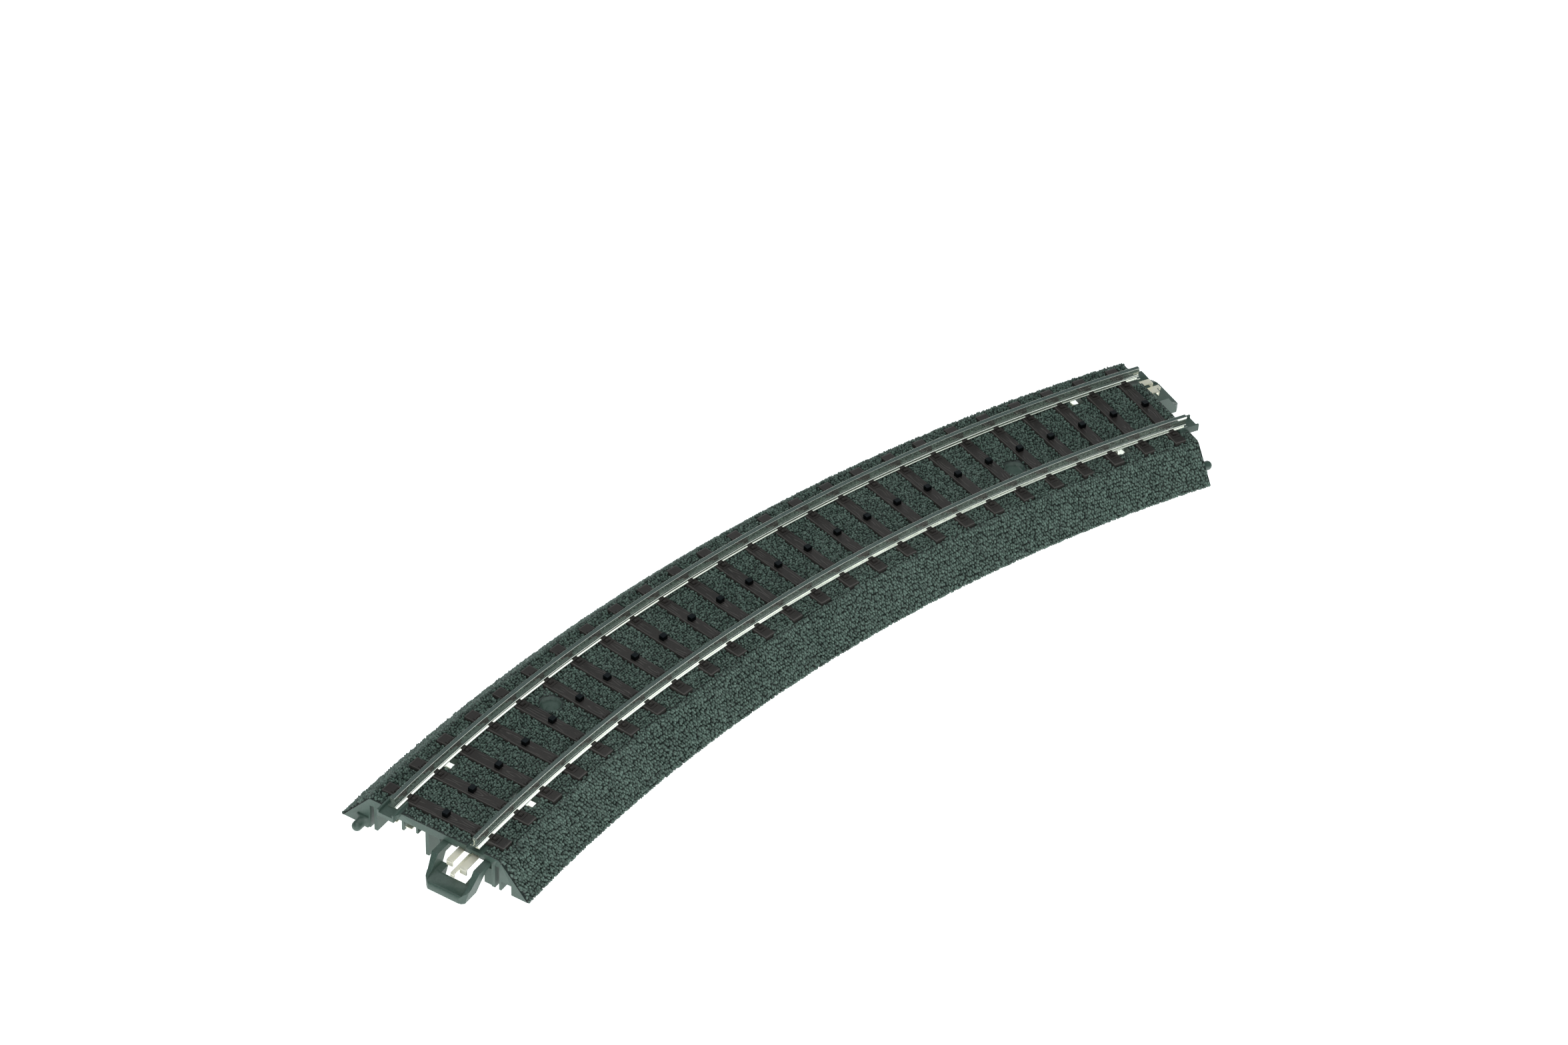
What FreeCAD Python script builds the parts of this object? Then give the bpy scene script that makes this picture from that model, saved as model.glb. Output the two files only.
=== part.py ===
"""Curved model-railway track section on a moulded ballast bed, with click couplings at both ends.

Frame: origin on the ground under the middle of the track's centreline, +X towards the right-hand
end, +Y away from the curve's centre, +Z up. Units are millimetres.

The two ends are the same moulding turned half a circle, so every end piece is described once in an
end frame: X points out of the track, Y towards the coupling loop's side, Z up, origin at the
centreline on the ground in the end plane. That frame is then placed at the right and at the left.
"""
import FreeCAD, Part
import os
import re
import Sketcher

# name, value, what it is (millimetres and degrees)
DIMENSIONS = [
    ("curve_radius", 360, "radius of the track's centreline"),
    ("arc_angle", 30, "angle that the section turns through"),
    ("gauge", 16.5, "distance between the rail heads' inner faces"),
    ("slope_run", 6, "width of the ballast slope on the ground"),
    ("shoulder_width", 0.5, "width of the rounded shoulder beside the deck"),
    ("shoulder_drop", 0.3, "how far the slope starts below the deck"),
    ("deck_margin", 0.45, "width of the deck beyond the sleepers' ends"),
    ("deck_top", 6.9, "height of the deck"),
    ("deck_thickness", 1.6, "thickness of the deck"),
    ("slope_wall", 2, "horizontal thickness of the sloped wall"),
    ("tunnel_overhang", 0.2, "how far the tunnel under the deck is wider than the deck"),
    ("end_wall", 2, "thickness of the closing wall at each end of the slopes"),
    ("rib_count", 5, "cross ribs under the deck"),
    ("rib_angle", 3.6, "angle between cross ribs"),
    ("rib_thickness", 1.2, "thickness of a cross rib"),
    ("sleeper_count", 25, "sleepers in the section"),
    ("sleeper_width", 2.35, "width of a sleeper along the track"),
    ("sleeper_overhang", 4.35, "length of a sleeper beyond a rail's middle line"),
    ("sleeper_stand", 0.5, "height of a sleeper's top over the deck"),
    ("sleeper_sink", 0.5, "depth of a sleeper's pocket in the deck"),
    ("sleeper_moat", 0.35, "gap round a sleeper in its pocket"),
    ("rail_height", 2.3, "height of the rail"),
    ("foot_half_width", 1, "half width of the rail foot"),
    ("foot_edge", 0.2, "thickness of the foot at its edge"),
    ("foot_rise", 0.55, "height of the foot at the web"),
    ("web_half_width", 0.22, "half thickness of the web"),
    ("head_half_width", 0.45, "half width of the rail head"),
    ("head_height", 0.75, "height of the head's straight side"),
    ("head_chamfer", 0.1, "chamfer along the head's top edges"),
    ("chair_half_width", 0.8, "half width of a rail chair along the track"),
    ("chair_reach", 1.7, "how far a chair plate reaches from the foot"),
    ("chair_plate", 0.15, "thickness of a chair plate"),
    ("clip_wall", 0.4, "thickness of a rail clip beside the foot"),
    ("clip_height", 0.7, "height of a rail clip over the sleeper"),
    ("clip_lip", 0.4, "how far a clip reaches over the foot"),
    ("lip_thickness", 0.28, "thickness of the clip's lip"),
    ("rail_clearance", 0.03, "gap between the foot and its clips"),
    ("core_length", 1.3, "half size of a mould core hole along the track"),
    ("core_width", 1.4, "half size of a mould core hole across the track"),
    ("stud_half_length", 0.6, "half size of a contact stud along the track"),
    ("stud_half_width", 0.55, "half size of a contact stud across the track"),
    ("stud_height", 0.9, "height of a contact stud over the sleeper"),
    ("stud_clearance", 0.06, "gap round a stud in its sleeper"),
    ("strip_half_width", 0.9, "half width of the contact strip under the deck"),
    ("sheet_metal", 0.25, "thickness of the stamped contact metal"),
    ("strip_gap", 0.03, "gap between the deck and the contact strip"),
    ("strip_setback", 2, "distance from the end plane to the strip's end"),
    ("lug_gap", 2, "which gap between sleepers a rail lug stands in, counted from the end"),
    ("lug_shift", 0.22, "distance of a rail lug past the middle of its gap"),
    ("lug_half_length", 0.6, "half length of a rail lug"),
    ("lug_thickness", 0.4, "thickness of a rail lug"),
    ("lug_window_length", 1.4, "half length of the deck window round a lug"),
    ("lug_window_width", 2.2, "half width of the deck window round a lug"),
    ("bus_drop", 1.15, "distance of the rail bus plate below the deck"),
    ("bus_half_length", 1, "half length of the bus plate's cross bar"),
    ("bus_margin", 1.1, "how far the bus plate reaches beyond a rail lug"),
    ("screw_angle", 9, "angle from mid-track to a fixing screw"),
    ("screw_offset", 3.6, "distance of a fixing screw from the centreline"),
    ("recess_radius", 1.95, "radius of the screw head recess"),
    ("recess_depth", 0.9, "depth of the screw head recess"),
    ("screw_hole_radius", 1.1, "radius of the screw hole in its post"),
    ("membrane", 0.3, "thin skin that the screw is pushed through"),
    ("post_radius", 2.4, "radius of the screw post"),
    ("post_foot_gap", 0.4, "gap between the post and the ground"),
    ("peg_overhang", 1.7, "distance of a locating peg beyond the deck's edge"),
    ("peg_height", 1.1, "height of a locating peg's axis"),
    ("peg_radius", 0.95, "radius of a locating peg"),
    ("peg_length", 1.9, "straight length of a locating peg"),
    ("peg_clearance", 0.1, "gap round a peg in its notch"),
    ("trough_half_width", 1.75, "half width of a rail support trough"),
    ("trough_reach", 2.2, "how far a trough stands out of the end"),
    ("trough_wall", 0.35, "thickness of a trough's side wall"),
    ("trough_floor", 0.9, "thickness of a trough's floor"),
    ("trough_rise", 0.6, "height of a trough's walls over the rail foot's base"),
    ("mating_gap", 0.05, "gap between mating surfaces of two sections"),
    ("loop_inset", 6.8, "distance of the loop's inner side from the rail's line"),
    ("loop_outset", 3.3, "distance of the loop's outer side from the rail's line"),
    ("loop_lean", 1, "how much each side of the loop leans in at the ground"),
    ("loop_sink", 0.2, "how far the loop's arms rise into the deck"),
    ("loop_base", 0.3, "height of the loop's underside"),
    ("loop_crease", 3.25, "where the arms' tops start to slope"),
    ("loop_reach", 7.2, "how far the loop stands out of the end"),
    ("loop_arm", 1.35, "thickness of the loop's arms"),
    ("loop_bar", 3, "length of the loop's front bar along the track"),
    ("loop_step", 1.2, "width of the step inside each arm"),
    ("bar_back", 2.6, "height of the bar at its back"),
    ("bar_front", 2, "height of the bar at its front"),
    ("hinge_setback", 0.9, "distance from the end plane to the loop's flexing root"),
    ("hinge_radius", 0.6, "radius of the loop's rounded root"),
    ("hinge_clearance", 0.06, "gap round the loop's root"),
    ("wall_thickness", 0.7, "thickness of the guide walls beside a coupling"),
    ("guide_length", 8, "length of the guide wall on the outer side"),
    ("centre_wall_length", 4.8, "length of the guide wall near the centreline"),
    ("spring_root", 3.5, "distance from the end plane to a contact spring's root"),
    ("spring_relief", 0.45, "depth of the pocket over a contact spring"),
    ("root_gap", 0.15, "gap between a contact spring and the plate that feeds it"),
    ("cross_near", 5.5, "front edge of the contact strip's cross piece"),
    ("cross_far", 7, "back edge of the contact strip's cross piece"),
    ("blade_setback", 0.05, "distance from the end plane to a contact blade's tip"),
    ("tab_thickness", 0.5, "thickness of a feeder tab"),
    ("tab_half_width", 1.2, "half width of a feeder tab"),
    ("tab_length", 8, "length of a feeder tab"),
    ("crease_rise", 0.4, "height of the arms over the bar where they stop sloping"),
    ("chin_rise", 0.3, "height of the chamfer under the loop's front"),
    ("chin_length", 0.4, "length of the chamfer under the loop's front"),
    ("corner_start", 0.7, "distance from the crease to the loop's rounded corners"),
    ("corner_length", 1, "length of the loop's last corner cut"),
    ("corner_inset", 0.75, "how far the loop's side is cut in before its last corner"),
    ("corner_width", 1.9, "how far the loop's front corner is cut in"),
    ("root_room", 0.5, "room for the loop's root to turn in its slot"),
    ("guide_clearance", 0.1, "gap between a coupling loop and the walls that guide it"),
    ("rib_gap", 0.5, "gap between the contact strip's cross piece and the small ribs"),
    ("catch_clearance", 0.1, "gap between the catch rib and the springs beside it"),
    ("catch_rib_depth", 2.1, "height of the catch rib"),
    ("catch_depth", 0.7, "how far the catch nose reaches below the top of the bar"),
    ("catch_length", 1.05, "length of the catch nose"),
    ("small_rib_place", 3.4, "distance of the small rib from the centreline"),
    ("small_rib_width", 0.4, "thickness of the small rib"),
    ("small_rib_depth", 1.3, "height of the small rib"),
    ("leg_back", 3, "distance from the end plane to the leg's back"),
    ("leg_front", 0.2, "distance from the end plane to the leg's front"),
    ("leg_width", 1.5, "how far the leg stands in under the loop's root"),
    ("leg_gap", 0.3, "gap between the leg and the loop's root"),
    ("block_gap", 0.1, "gap between the contact strip and the block beside it"),
    ("block_width", 0.5, "thickness of the block beside the contact strip"),
    ("block_depth", 1.5, "height of the block beside the contact strip"),
    ("collar_margin", 0.25, "width of the collar round a locating peg"),
    ("collar_length", 0.35, "thickness of the collar round a locating peg"),
    ("centre_spring_margin", 0.55, "gap between the loop's window and the centre spring"),
    ("centre_spring_width", 1.3, "width of the centre contact spring"),
    ("centre_spring_tip", 3.3, "how far the centre spring stands out of the end"),
    ("centre_spring_drop", 1.2, "length of the centre spring's folded tip"),
    ("return_spring_gap", 0.65, "gap between the centre spring and the return spring"),
    ("return_spring_width", 0.8, "width of the return contact spring"),
    ("return_spring_tip", 4.9, "how far the return spring stands out of the end"),
    ("return_spring_drop", 0.9, "length of the return spring's folded tip"),
    ("rail_spring_gap", 0.25, "gap between the return spring and the rail spring"),
    ("rail_spring_width", 1.4, "width of the rail contact spring"),
    ("rail_spring_tip", 3.6, "how far the rail spring stands out of the end"),
    ("rail_spring_drop", 1.4, "length of the rail spring's folded tip"),
    ("spring_gap", 0.05, "gap between a contact spring and the deck's underside"),
    ("spring_clearance", 0.1, "gap at each side of a contact spring in its pocket"),
    ("blade_shift", 0.2, "how far the centre blade sits nearer to the centreline"),
    ("rail_tab_place", 3, "distance of the rail feeder tab from the centreline"),
    ("centre_tab_setback", 18.3, "distance from the end plane to the centre feeder tab"),
    ("overlap", 0.05, "how far joined plastic details run into each other"),
    ("cut_margin", 1, "how far a cutting tool reaches past what it cuts"),
]
ALIASES = {name for name, _, _ in DIMENSIONS}

doc = FreeCAD.newDocument("curved_track")
sheet = doc.addObject("Spreadsheet::Sheet", "Dimensions")
for row, (name, value, meaning) in enumerate(DIMENSIONS, start=1):
    sheet.set(f"A{row}", name)
    sheet.set(f"B{row}", str(value))
    sheet.set(f"C{row}", meaning)
    sheet.setAlias(f"B{row}", name)
doc.recompute()


# Places worked out from the sizes
PLACES = {
    "rail_line": "gauge / 2 + head_half_width",
    "sleeper_half_length": "rail_line + sleeper_overhang",
    "deck_half_width": "sleeper_half_length + deck_margin",
    "shoulder_half_width": "deck_half_width + shoulder_width",
    "base_half_width": "shoulder_half_width + slope_run",
    "tunnel_half_width": "deck_half_width + tunnel_overhang",
    "peg_offset": "deck_half_width + peg_overhang",
    "shoulder_height": "deck_top - shoulder_drop",
    "under_deck": "deck_top - deck_thickness",
    "pocket_floor": "deck_top - sleeper_sink",
    "sleeper_top": "deck_top + sleeper_stand",
    "rail_top": "sleeper_top + rail_height",
    "strip_top": "under_deck - strip_gap",
    "strip_bottom": "strip_top - sheet_metal",
    "bus_level": "under_deck - bus_drop",
    "bus_top": "bus_level + sheet_metal",
    "bus_reach": "rail_line + lug_thickness / 2 + bus_margin",
    "spring_top": "strip_top - spring_gap",
    "pitch": "arc_angle / sleeper_count",
    "first_sleeper": "-pitch * (sleeper_count - 1) / 2",
    "lug_setback": "lug_gap * pitch / per_radian * curve_radius + lug_shift",
    "loop_near": "rail_line - loop_inset",
    "loop_far": "rail_line + loop_outset",
    "loop_top": "under_deck + loop_sink",
    "loop_centre": "(loop_near + loop_far) / 2",
    "loop_half": "(loop_far - loop_near) / 2",
    "root_bottom": "loop_top - 2 * hinge_radius",
    "guide_side": "loop_far + guide_clearance + overlap",
    "guide_top": "under_deck + overlap",
    "centre_near": "loop_near + loop_arm + loop_step + centre_spring_margin",
    "centre_far": "centre_near + centre_spring_width",
    "return_near": "centre_far + return_spring_gap",
    "return_far": "return_near + return_spring_width",
    "rail_near": "return_far + rail_spring_gap",
    "rail_far": "rail_near + rail_spring_width",
    "blade_near": "centre_near - blade_shift",
    "blade_far": "centre_far - blade_shift",
    "contact_front": "-spring_root - root_gap",
    "per_radian": "180 / pi",
}


def bound(text):
    """An expression with its places written out and every size tied to its cell."""
    return re.sub(r"[a-z_]+", lambda word: spelled_out(word.group()), text)


def spelled_out(word):
    if word in PLACES:
        return f"({bound(PLACES[word])})"
    return f"Dimensions.{word}" if word in ALIASES else word


CURVE_FRAME = "placement(vector(0; -curve_radius; 0); rotationz(90))"
END_FRAME = {
    "right": "placement(vector(curve_radius * sin(arc_angle / 2);"
             " curve_radius * (cos(arc_angle / 2) - 1); 0); rotationz(-arc_angle / 2))",
    "left": "placement(vector(-curve_radius * sin(arc_angle / 2);"
            " curve_radius * (cos(arc_angle / 2) - 1); 0); rotationz(180 + arc_angle / 2))",
}
SIDES = ("left", "right")


def shifted(frame, x, y, z):
    """The placement of a point in a frame, with the frame's directions."""
    return f"{frame} * placement(vector({x}; {y}; {z}); rotationz(0))"


# ---- Part primitives ----------------------------------------------------------------------

def box(name, frame, low, high):
    """A block between two corners, each written in the frame's own directions."""
    block = doc.addObject("Part::Box", name)
    for prop, start, stop in zip(("Length", "Width", "Height"), low, high):
        block.setExpression(prop, bound(f"({stop}) - ({start})"))
    block.setExpression("Placement", bound(shifted(frame, *low)))
    return block


def fuse(name, pieces):
    joined = doc.addObject("Part::MultiFuse", name)
    joined.Shapes = pieces
    return joined


def cut(name, base, tool):
    rest = doc.addObject("Part::Cut", name)
    rest.Base = base
    rest.Tool = tool
    return rest


# ---- PartDesign features ------------------------------------------------------------------

def new_body(name, placement):
    body = doc.addObject("PartDesign::Body", name)
    body.Label = name
    body.AllowCompound = True
    body.setExpression("Placement", bound(placement))
    return body


def origin_feature(body, role):
    return next(item for item in body.Origin.OriginFeatures if item.Role == role)


def add_sketch(body, name, role, outlines, offset=None):
    """Closed outlines, each a list of (x, y) expressions, on one of the body's own planes."""
    sketch = body.newObject("Sketcher::SketchObject", name)
    sketch.AttachmentSupport = [(origin_feature(body, role), "")]
    sketch.MapMode = "FlatFace"
    if offset:
        sketch.setExpression("AttachmentOffset", bound(offset))
    for outline in outlines:
        first = sketch.GeometryCount
        corners = [(number(x), number(y)) for x, y in outline]
        for start, stop in zip(corners, corners[1:] + corners[:1]):
            line = Part.LineSegment(FreeCAD.Vector(*start, 0), FreeCAD.Vector(*stop, 0))
            sketch.addGeometry(line, False)
        for step in range(len(outline)):
            following = first + (step + 1) % len(outline)
            sketch.addConstraint(Sketcher.Constraint("Coincident", first + step, 2, following, 1))
        for step, (x, y) in enumerate(outline):
            tie(sketch, "DistanceX", first + step, x)
            tie(sketch, "DistanceY", first + step, y)
    return sketch


def tie(sketch, direction, line, text, point=1):
    """Bind a line's start, or a circle's centre, to an expression from the sketch's origin."""
    constraint = Sketcher.Constraint(direction, -1, 1, line, point, number(text))
    index = sketch.addConstraint(constraint)
    sketch.setExpression(f"Constraints[{index}]", bound(text))


def add_circle(body, name, role, x, y, radius):
    """A sketch that holds one circle on one of the body's own planes."""
    sketch = body.newObject("Sketcher::SketchObject", name)
    sketch.AttachmentSupport = [(origin_feature(body, role), "")]
    sketch.MapMode = "FlatFace"
    centre = FreeCAD.Vector(number(x), number(y), 0)
    sketch.addGeometry(Part.Circle(centre, FreeCAD.Vector(0, 0, 1), number(radius)), False)
    tie(sketch, "DistanceX", 0, x, point=3)
    tie(sketch, "DistanceY", 0, y, point=3)
    index = sketch.addConstraint(Sketcher.Constraint("Radius", 0, number(radius)))
    sketch.setExpression(f"Constraints[{index}]", bound(radius))
    return sketch


def number(text):
    """The value that an expression has now, for a sketch's first shape."""
    return float(sheet.evalExpression(bound(text).replace("Dimensions.", "")))


def extrude(body, kind, name, sketch, length, midplane=False, reverse=False):
    feature = body.newObject(f"PartDesign::{kind}", name)
    feature.Profile = sketch
    feature.setExpression("Length", bound(length))
    feature.Midplane = midplane
    feature.Reversed = reverse
    return checked(feature)


def turn(body, kind, name, sketch, angle):
    """Revolve a radial outline evenly to both sides of the middle of the curve."""
    feature = body.newObject(f"PartDesign::{kind}", name)
    feature.Profile = sketch
    feature.ReferenceAxis = (sketch, ["V_Axis"])
    feature.setExpression("Angle", bound(angle))
    feature.Midplane = True
    return checked(feature)


def checked(feature):
    """Recompute, and make sure that a cut took material away and a pad added some."""
    doc.recompute()
    before = feature.BaseFeature.Shape.Volume if feature.BaseFeature else 0
    shrinks = feature.TypeId in ("PartDesign::Pocket", "PartDesign::Groove")
    change = feature.Shape.Volume - before
    if (change < 0) != shrinks or abs(change) < 1e-6:
        raise RuntimeError(f"{feature.Name} changed the volume by {change:.4f}")
    return feature


def around(body, name, features, count, angle, mode="Features"):
    """Repeat features about the curve's centre; the copies run over the whole angle."""
    pattern = body.newObject("PartDesign::PolarPattern", name)
    pattern.TransformMode = mode
    if mode == "Features":
        pattern.Originals = features
    pattern.Axis = (origin_feature(body, "Z_Axis"), [""])
    pattern.setExpression("Angle", bound(angle))
    pattern.setExpression("Occurrences", bound(count))
    body.Tip = pattern
    doc.recompute()
    return pattern


def rectangle(x_low, x_high, y_low, y_high):
    return [(x_low, y_low), (x_high, y_low), (x_high, y_high), (x_low, y_high)]


def at_first_sleeper(level):
    return f"placement(vector(0; 0; {level}); rotationz(first_sleeper))"


def radial(outline):
    """An outline whose x is the distance from the track's centreline."""
    return [(f"curve_radius + ({x})", y) for x, y in outline]


def mirrored(outline):
    """An outline and its mirror image across the centreline, as one closed outline."""
    return outline + [(f"-({x})", y) for x, y in reversed(outline)]


# ---- Rails --------------------------------------------------------------------------------

def make_rail(name, offset):
    """A rolled profile on the curve, with a lug near each end that reaches the bus plate."""
    body = new_body(name, CURVE_FRAME)
    half = [
        ("foot_half_width", "sleeper_top"),
        ("foot_half_width", "sleeper_top + foot_edge"),
        ("web_half_width", "sleeper_top + foot_rise"),
        ("web_half_width", "rail_top - head_height - 2 * head_chamfer"),
        ("head_half_width", "rail_top - head_height"),
        ("head_half_width", "rail_top - head_chamfer"),
        ("head_half_width - head_chamfer", "rail_top"),
    ]
    outline = [(f"{offset} + ({x})", y) for x, y in mirrored(half)]
    profile = add_sketch(body, f"{name}_profile", "XZ_Plane", [radial(outline)])
    turn(body, "Revolution", f"{name}_run", profile, "arc_angle")
    setback = "(arc_angle / 2 - lug_setback / curve_radius * per_radian)"
    lug = add_sketch(
        body, f"{name}_lug_outline", "XY_Plane",
        [radial(rectangle(f"{offset} - lug_thickness / 2", f"{offset} + lug_thickness / 2",
                          "-lug_half_length", "lug_half_length"))],
        f"placement(vector(0; 0; bus_top); rotationz(-{setback}))")
    lug_pad = extrude(body, "Pad", f"{name}_lug", lug, "sleeper_top + foot_edge / 2 - bus_top")
    around(body, f"{name}_lugs", [lug_pad], "2", f"2 * {setback}")
    return body


# ---- Sleepers -----------------------------------------------------------------------------

def chair_rows(inner, outer):
    """The four rectangles that lie between two distances from the rails' middle lines."""
    rows = []
    for line in ("-rail_line", "rail_line"):
        for low, high in ((f"-({outer})", f"-({inner})"), (inner, outer)):
            rows.append(radial(rectangle(f"{line} + {low}", f"{line} + {high}",
                                         "-chair_half_width", "chair_half_width")))
    return rows


def make_sleepers():
    """One sleeper with its rail chairs, repeated over the curve."""
    body = new_body("sleepers", CURVE_FRAME)
    beam = add_sketch(
        body, "sleeper_outline", "XY_Plane",
        [radial(rectangle("-sleeper_half_length", "sleeper_half_length",
                          "-sleeper_width / 2", "sleeper_width / 2"))],
        at_first_sleeper("pocket_floor"))
    extrude(body, "Pad", "sleeper", beam, "sleeper_top - pocket_floor")
    edge = "foot_half_width + rail_clearance"
    levels = [
        ("chair_plates", edge, f"{edge} + chair_reach", "sleeper_top", "chair_plate"),
        ("rail_clips", edge, f"{edge} + clip_wall", "sleeper_top", "clip_height"),
        ("clip_lips", "foot_half_width - clip_lip", f"{edge} + clip_wall",
         "sleeper_top + clip_height - lip_thickness", "lip_thickness"),
    ]
    for name, inner, outer, level, height in levels:
        outline = add_sketch(body, f"{name}_outline", "XY_Plane", chair_rows(inner, outer),
                             at_first_sleeper(level))
        extrude(body, "Pad", name, outline, height)
    openings = [
        radial(rectangle(f"{line} - core_width", f"{line} + core_width / 2",
                         "-core_length / 2", "core_length"))
        for line in ("-rail_line", "rail_line")
    ]
    openings.append(radial(rectangle(
        "-stud_half_width - stud_clearance", "stud_half_width + stud_clearance",
        "-stud_half_length - stud_clearance", "stud_half_length + stud_clearance")))
    holes = add_sketch(body, "sleeper_openings", "XY_Plane", openings,
                       at_first_sleeper("sleeper_top"))
    extrude(body, "Pocket", "sleeper_holes", holes, "sleeper_top")
    around(body, "sleeper_row", [], "sleeper_count", "-2 * first_sleeper", "Whole shape")
    return body


def make_sleeper_pockets():
    """What the sleepers, the mould cores and the studs leave open in the deck."""
    body = new_body("sleeper_pockets", CURVE_FRAME)
    pocket = add_sketch(
        body, "pocket_outline", "XY_Plane",
        [radial(rectangle("-sleeper_half_length - sleeper_moat", "sleeper_half_length + sleeper_moat",
                          "-sleeper_width / 2 - sleeper_moat", "sleeper_width / 2 + sleeper_moat"))],
        at_first_sleeper("pocket_floor"))
    extrude(body, "Pad", "pocket", pocket, "sleeper_top")
    shafts = [
        radial(rectangle(f"{line} - core_width", f"{line} + core_width",
                         "-core_length", "core_length"))
        for line in ("-rail_line", "rail_line")
    ]
    shafts.append(radial(rectangle(
        "-stud_half_width - stud_clearance", "stud_half_width + stud_clearance",
        "-stud_half_length - stud_clearance", "stud_half_length + stud_clearance")))
    shaft = add_sketch(body, "shaft_outline", "XY_Plane", shafts,
                       at_first_sleeper("under_deck - sheet_metal"))
    extrude(body, "Pad", "shafts", shaft, "deck_thickness")
    around(body, "pocket_row", [], "sleeper_count", "-2 * first_sleeper", "Whole shape")
    return body


# ---- Ballast bed --------------------------------------------------------------------------

def make_bed_shell():
    """The ballast bed's hollow section on the curve, closed flanks at the ends, cross ribs."""
    body = new_body("bed_shell", CURVE_FRAME)
    solid = mirrored([
        ("base_half_width", "0"),
        ("shoulder_half_width", "shoulder_height"),
        ("deck_half_width", "deck_top"),
    ])
    outline = add_sketch(body, "bed_section", "XZ_Plane", [radial(solid)])
    turn(body, "Revolution", "bed_run", outline, "arc_angle")
    tunnel = rectangle("-tunnel_half_width", "tunnel_half_width", "-cut_margin", "under_deck")
    outline = add_sketch(body, "tunnel_section", "XZ_Plane", [radial(tunnel)])
    turn(body, "Groove", "tunnel", outline, "arc_angle + 1")
    run = "(base_half_width - shoulder_half_width) / shoulder_height"
    inner_foot = "(base_half_width - slope_wall)"
    inner_rise = f"(({inner_foot} - tunnel_half_width) / ({run}))"
    flank = [
        ("tunnel_half_width - slope_wall", "-cut_margin"),
        (inner_foot, "-cut_margin"),
        (inner_foot, "0"),
        ("tunnel_half_width", inner_rise),
        ("tunnel_half_width - slope_wall", inner_rise),
    ]
    flanks = [radial(flank), radial([(f"-({x})", y) for x, y in flank])]
    outline = add_sketch(body, "flank_section", "XZ_Plane", flanks)
    turn(body, "Groove", "flanks", outline,
         "arc_angle - 2 * end_wall / curve_radius * per_radian")
    rib = mirrored([
        (f"{inner_foot} + slope_wall / 3", "0"),
        ("tunnel_half_width + slope_wall / 3", inner_rise),
        ("tunnel_half_width", "under_deck + overlap"),
    ])
    outline = add_sketch(
        body, "rib_section", "XZ_Plane", [radial(rib)],
        "placement(vector(0; 0; 0); rotationy(-rib_angle * (rib_count - 1) / 2))")
    rib_pad = extrude(body, "Pad", "rib", outline, "rib_thickness", midplane=True)
    around(body, "ribs", [rib_pad], "rib_count", "rib_angle * (rib_count - 1)")
    channel = rectangle("-strip_half_width - 2 * overlap", "strip_half_width + 2 * overlap",
                        "strip_bottom - overlap", "under_deck")
    outline = add_sketch(body, "strip_channel_section", "XZ_Plane", [radial(channel)])
    turn(body, "Groove", "strip_channel", outline, "rib_angle * rib_count")
    return body


def make_guides(side):
    """Walls, nose, trough and peg that receive and line up the next section."""
    frame = END_FRAME[side]
    nose_back = "-loop_reach + loop_bar + catch_clearance + mating_gap"
    catch_far = "-return_near + catch_clearance"
    catch_near = "-centre_far - catch_clearance"
    rib_back = "-cross_near + rib_gap"
    blocks = [
        ("receiver_wall", ("-guide_length", "-guide_side - wall_thickness", "0"),
         ("0", "-guide_side", "guide_top")),
        ("centre_wall", ("-centre_wall_length", "-loop_near + guide_clearance", "0"),
         ("0", "-loop_near + guide_clearance + wall_thickness", "guide_top")),
        ("catch_rib", (rib_back, catch_far, "under_deck - catch_rib_depth"),
         ("0", catch_near, "guide_top")),
        ("catch_nose", (nose_back, catch_far, "bar_back - catch_depth"),
         (f"{nose_back} + catch_length", catch_near, "under_deck - catch_rib_depth + overlap")),
        ("small_rib", (rib_back, "-small_rib_place - small_rib_width",
                       "under_deck - small_rib_depth"),
         ("0", "-small_rib_place", "guide_top")),
        ("loop_side_wall", ("-guide_length", "guide_side", "0"),
         ("0", "guide_side + wall_thickness", "guide_top")),
        ("leg", ("-leg_back", "loop_far - leg_width", "0"),
         ("-leg_front", "guide_side + overlap", "root_bottom - leg_gap")),
        ("centre_block", ("-leg_back", "strip_half_width + block_gap", "under_deck - block_depth"),
         ("0", "strip_half_width + block_gap + block_width", "guide_top")),
        ("peg_collar", ("-overlap", "-peg_offset - peg_radius - collar_margin", "0"),
         ("collar_length", "-peg_offset + peg_radius + collar_margin",
          "peg_height + peg_radius + collar_margin")),
    ]
    floor_top = "sleeper_top - mating_gap"
    wall_top = "sleeper_top + trough_rise"
    low = f"{floor_top} - trough_floor"
    far_side = "-rail_line - trough_half_width"
    near_side = "-rail_line + trough_half_width"
    blocks += [
        ("trough_floor_plate", ("-trough_reach", far_side, low),
         ("trough_reach", near_side, floor_top)),
        ("trough_outer_wall", ("-trough_reach", far_side, low),
         ("trough_reach", f"{far_side} + trough_wall", wall_top)),
        ("trough_inner_wall", ("-trough_reach", f"{near_side} - trough_wall", low),
         ("trough_reach", near_side, wall_top)),
    ]
    pieces = [box(f"{side}_{name}", frame, low_corner, high_corner)
              for name, low_corner, high_corner in blocks]
    axis = f"{frame} * placement(vector(-overlap; -peg_offset; peg_height); rotationy(90))"
    stem = doc.addObject("Part::Cylinder", f"{side}_peg_stem")
    stem.setExpression("Radius", bound("peg_radius"))
    stem.setExpression("Height", bound("peg_length + overlap"))
    stem.setExpression("Placement", bound(axis))
    nose = doc.addObject("Part::Sphere", f"{side}_peg_nose")
    nose.setExpression("Radius", bound("peg_radius"))
    nose.setExpression("Placement",
                       bound(shifted(frame, "peg_length", "-peg_offset", "peg_height")))
    return pieces + [stem, nose]


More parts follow.
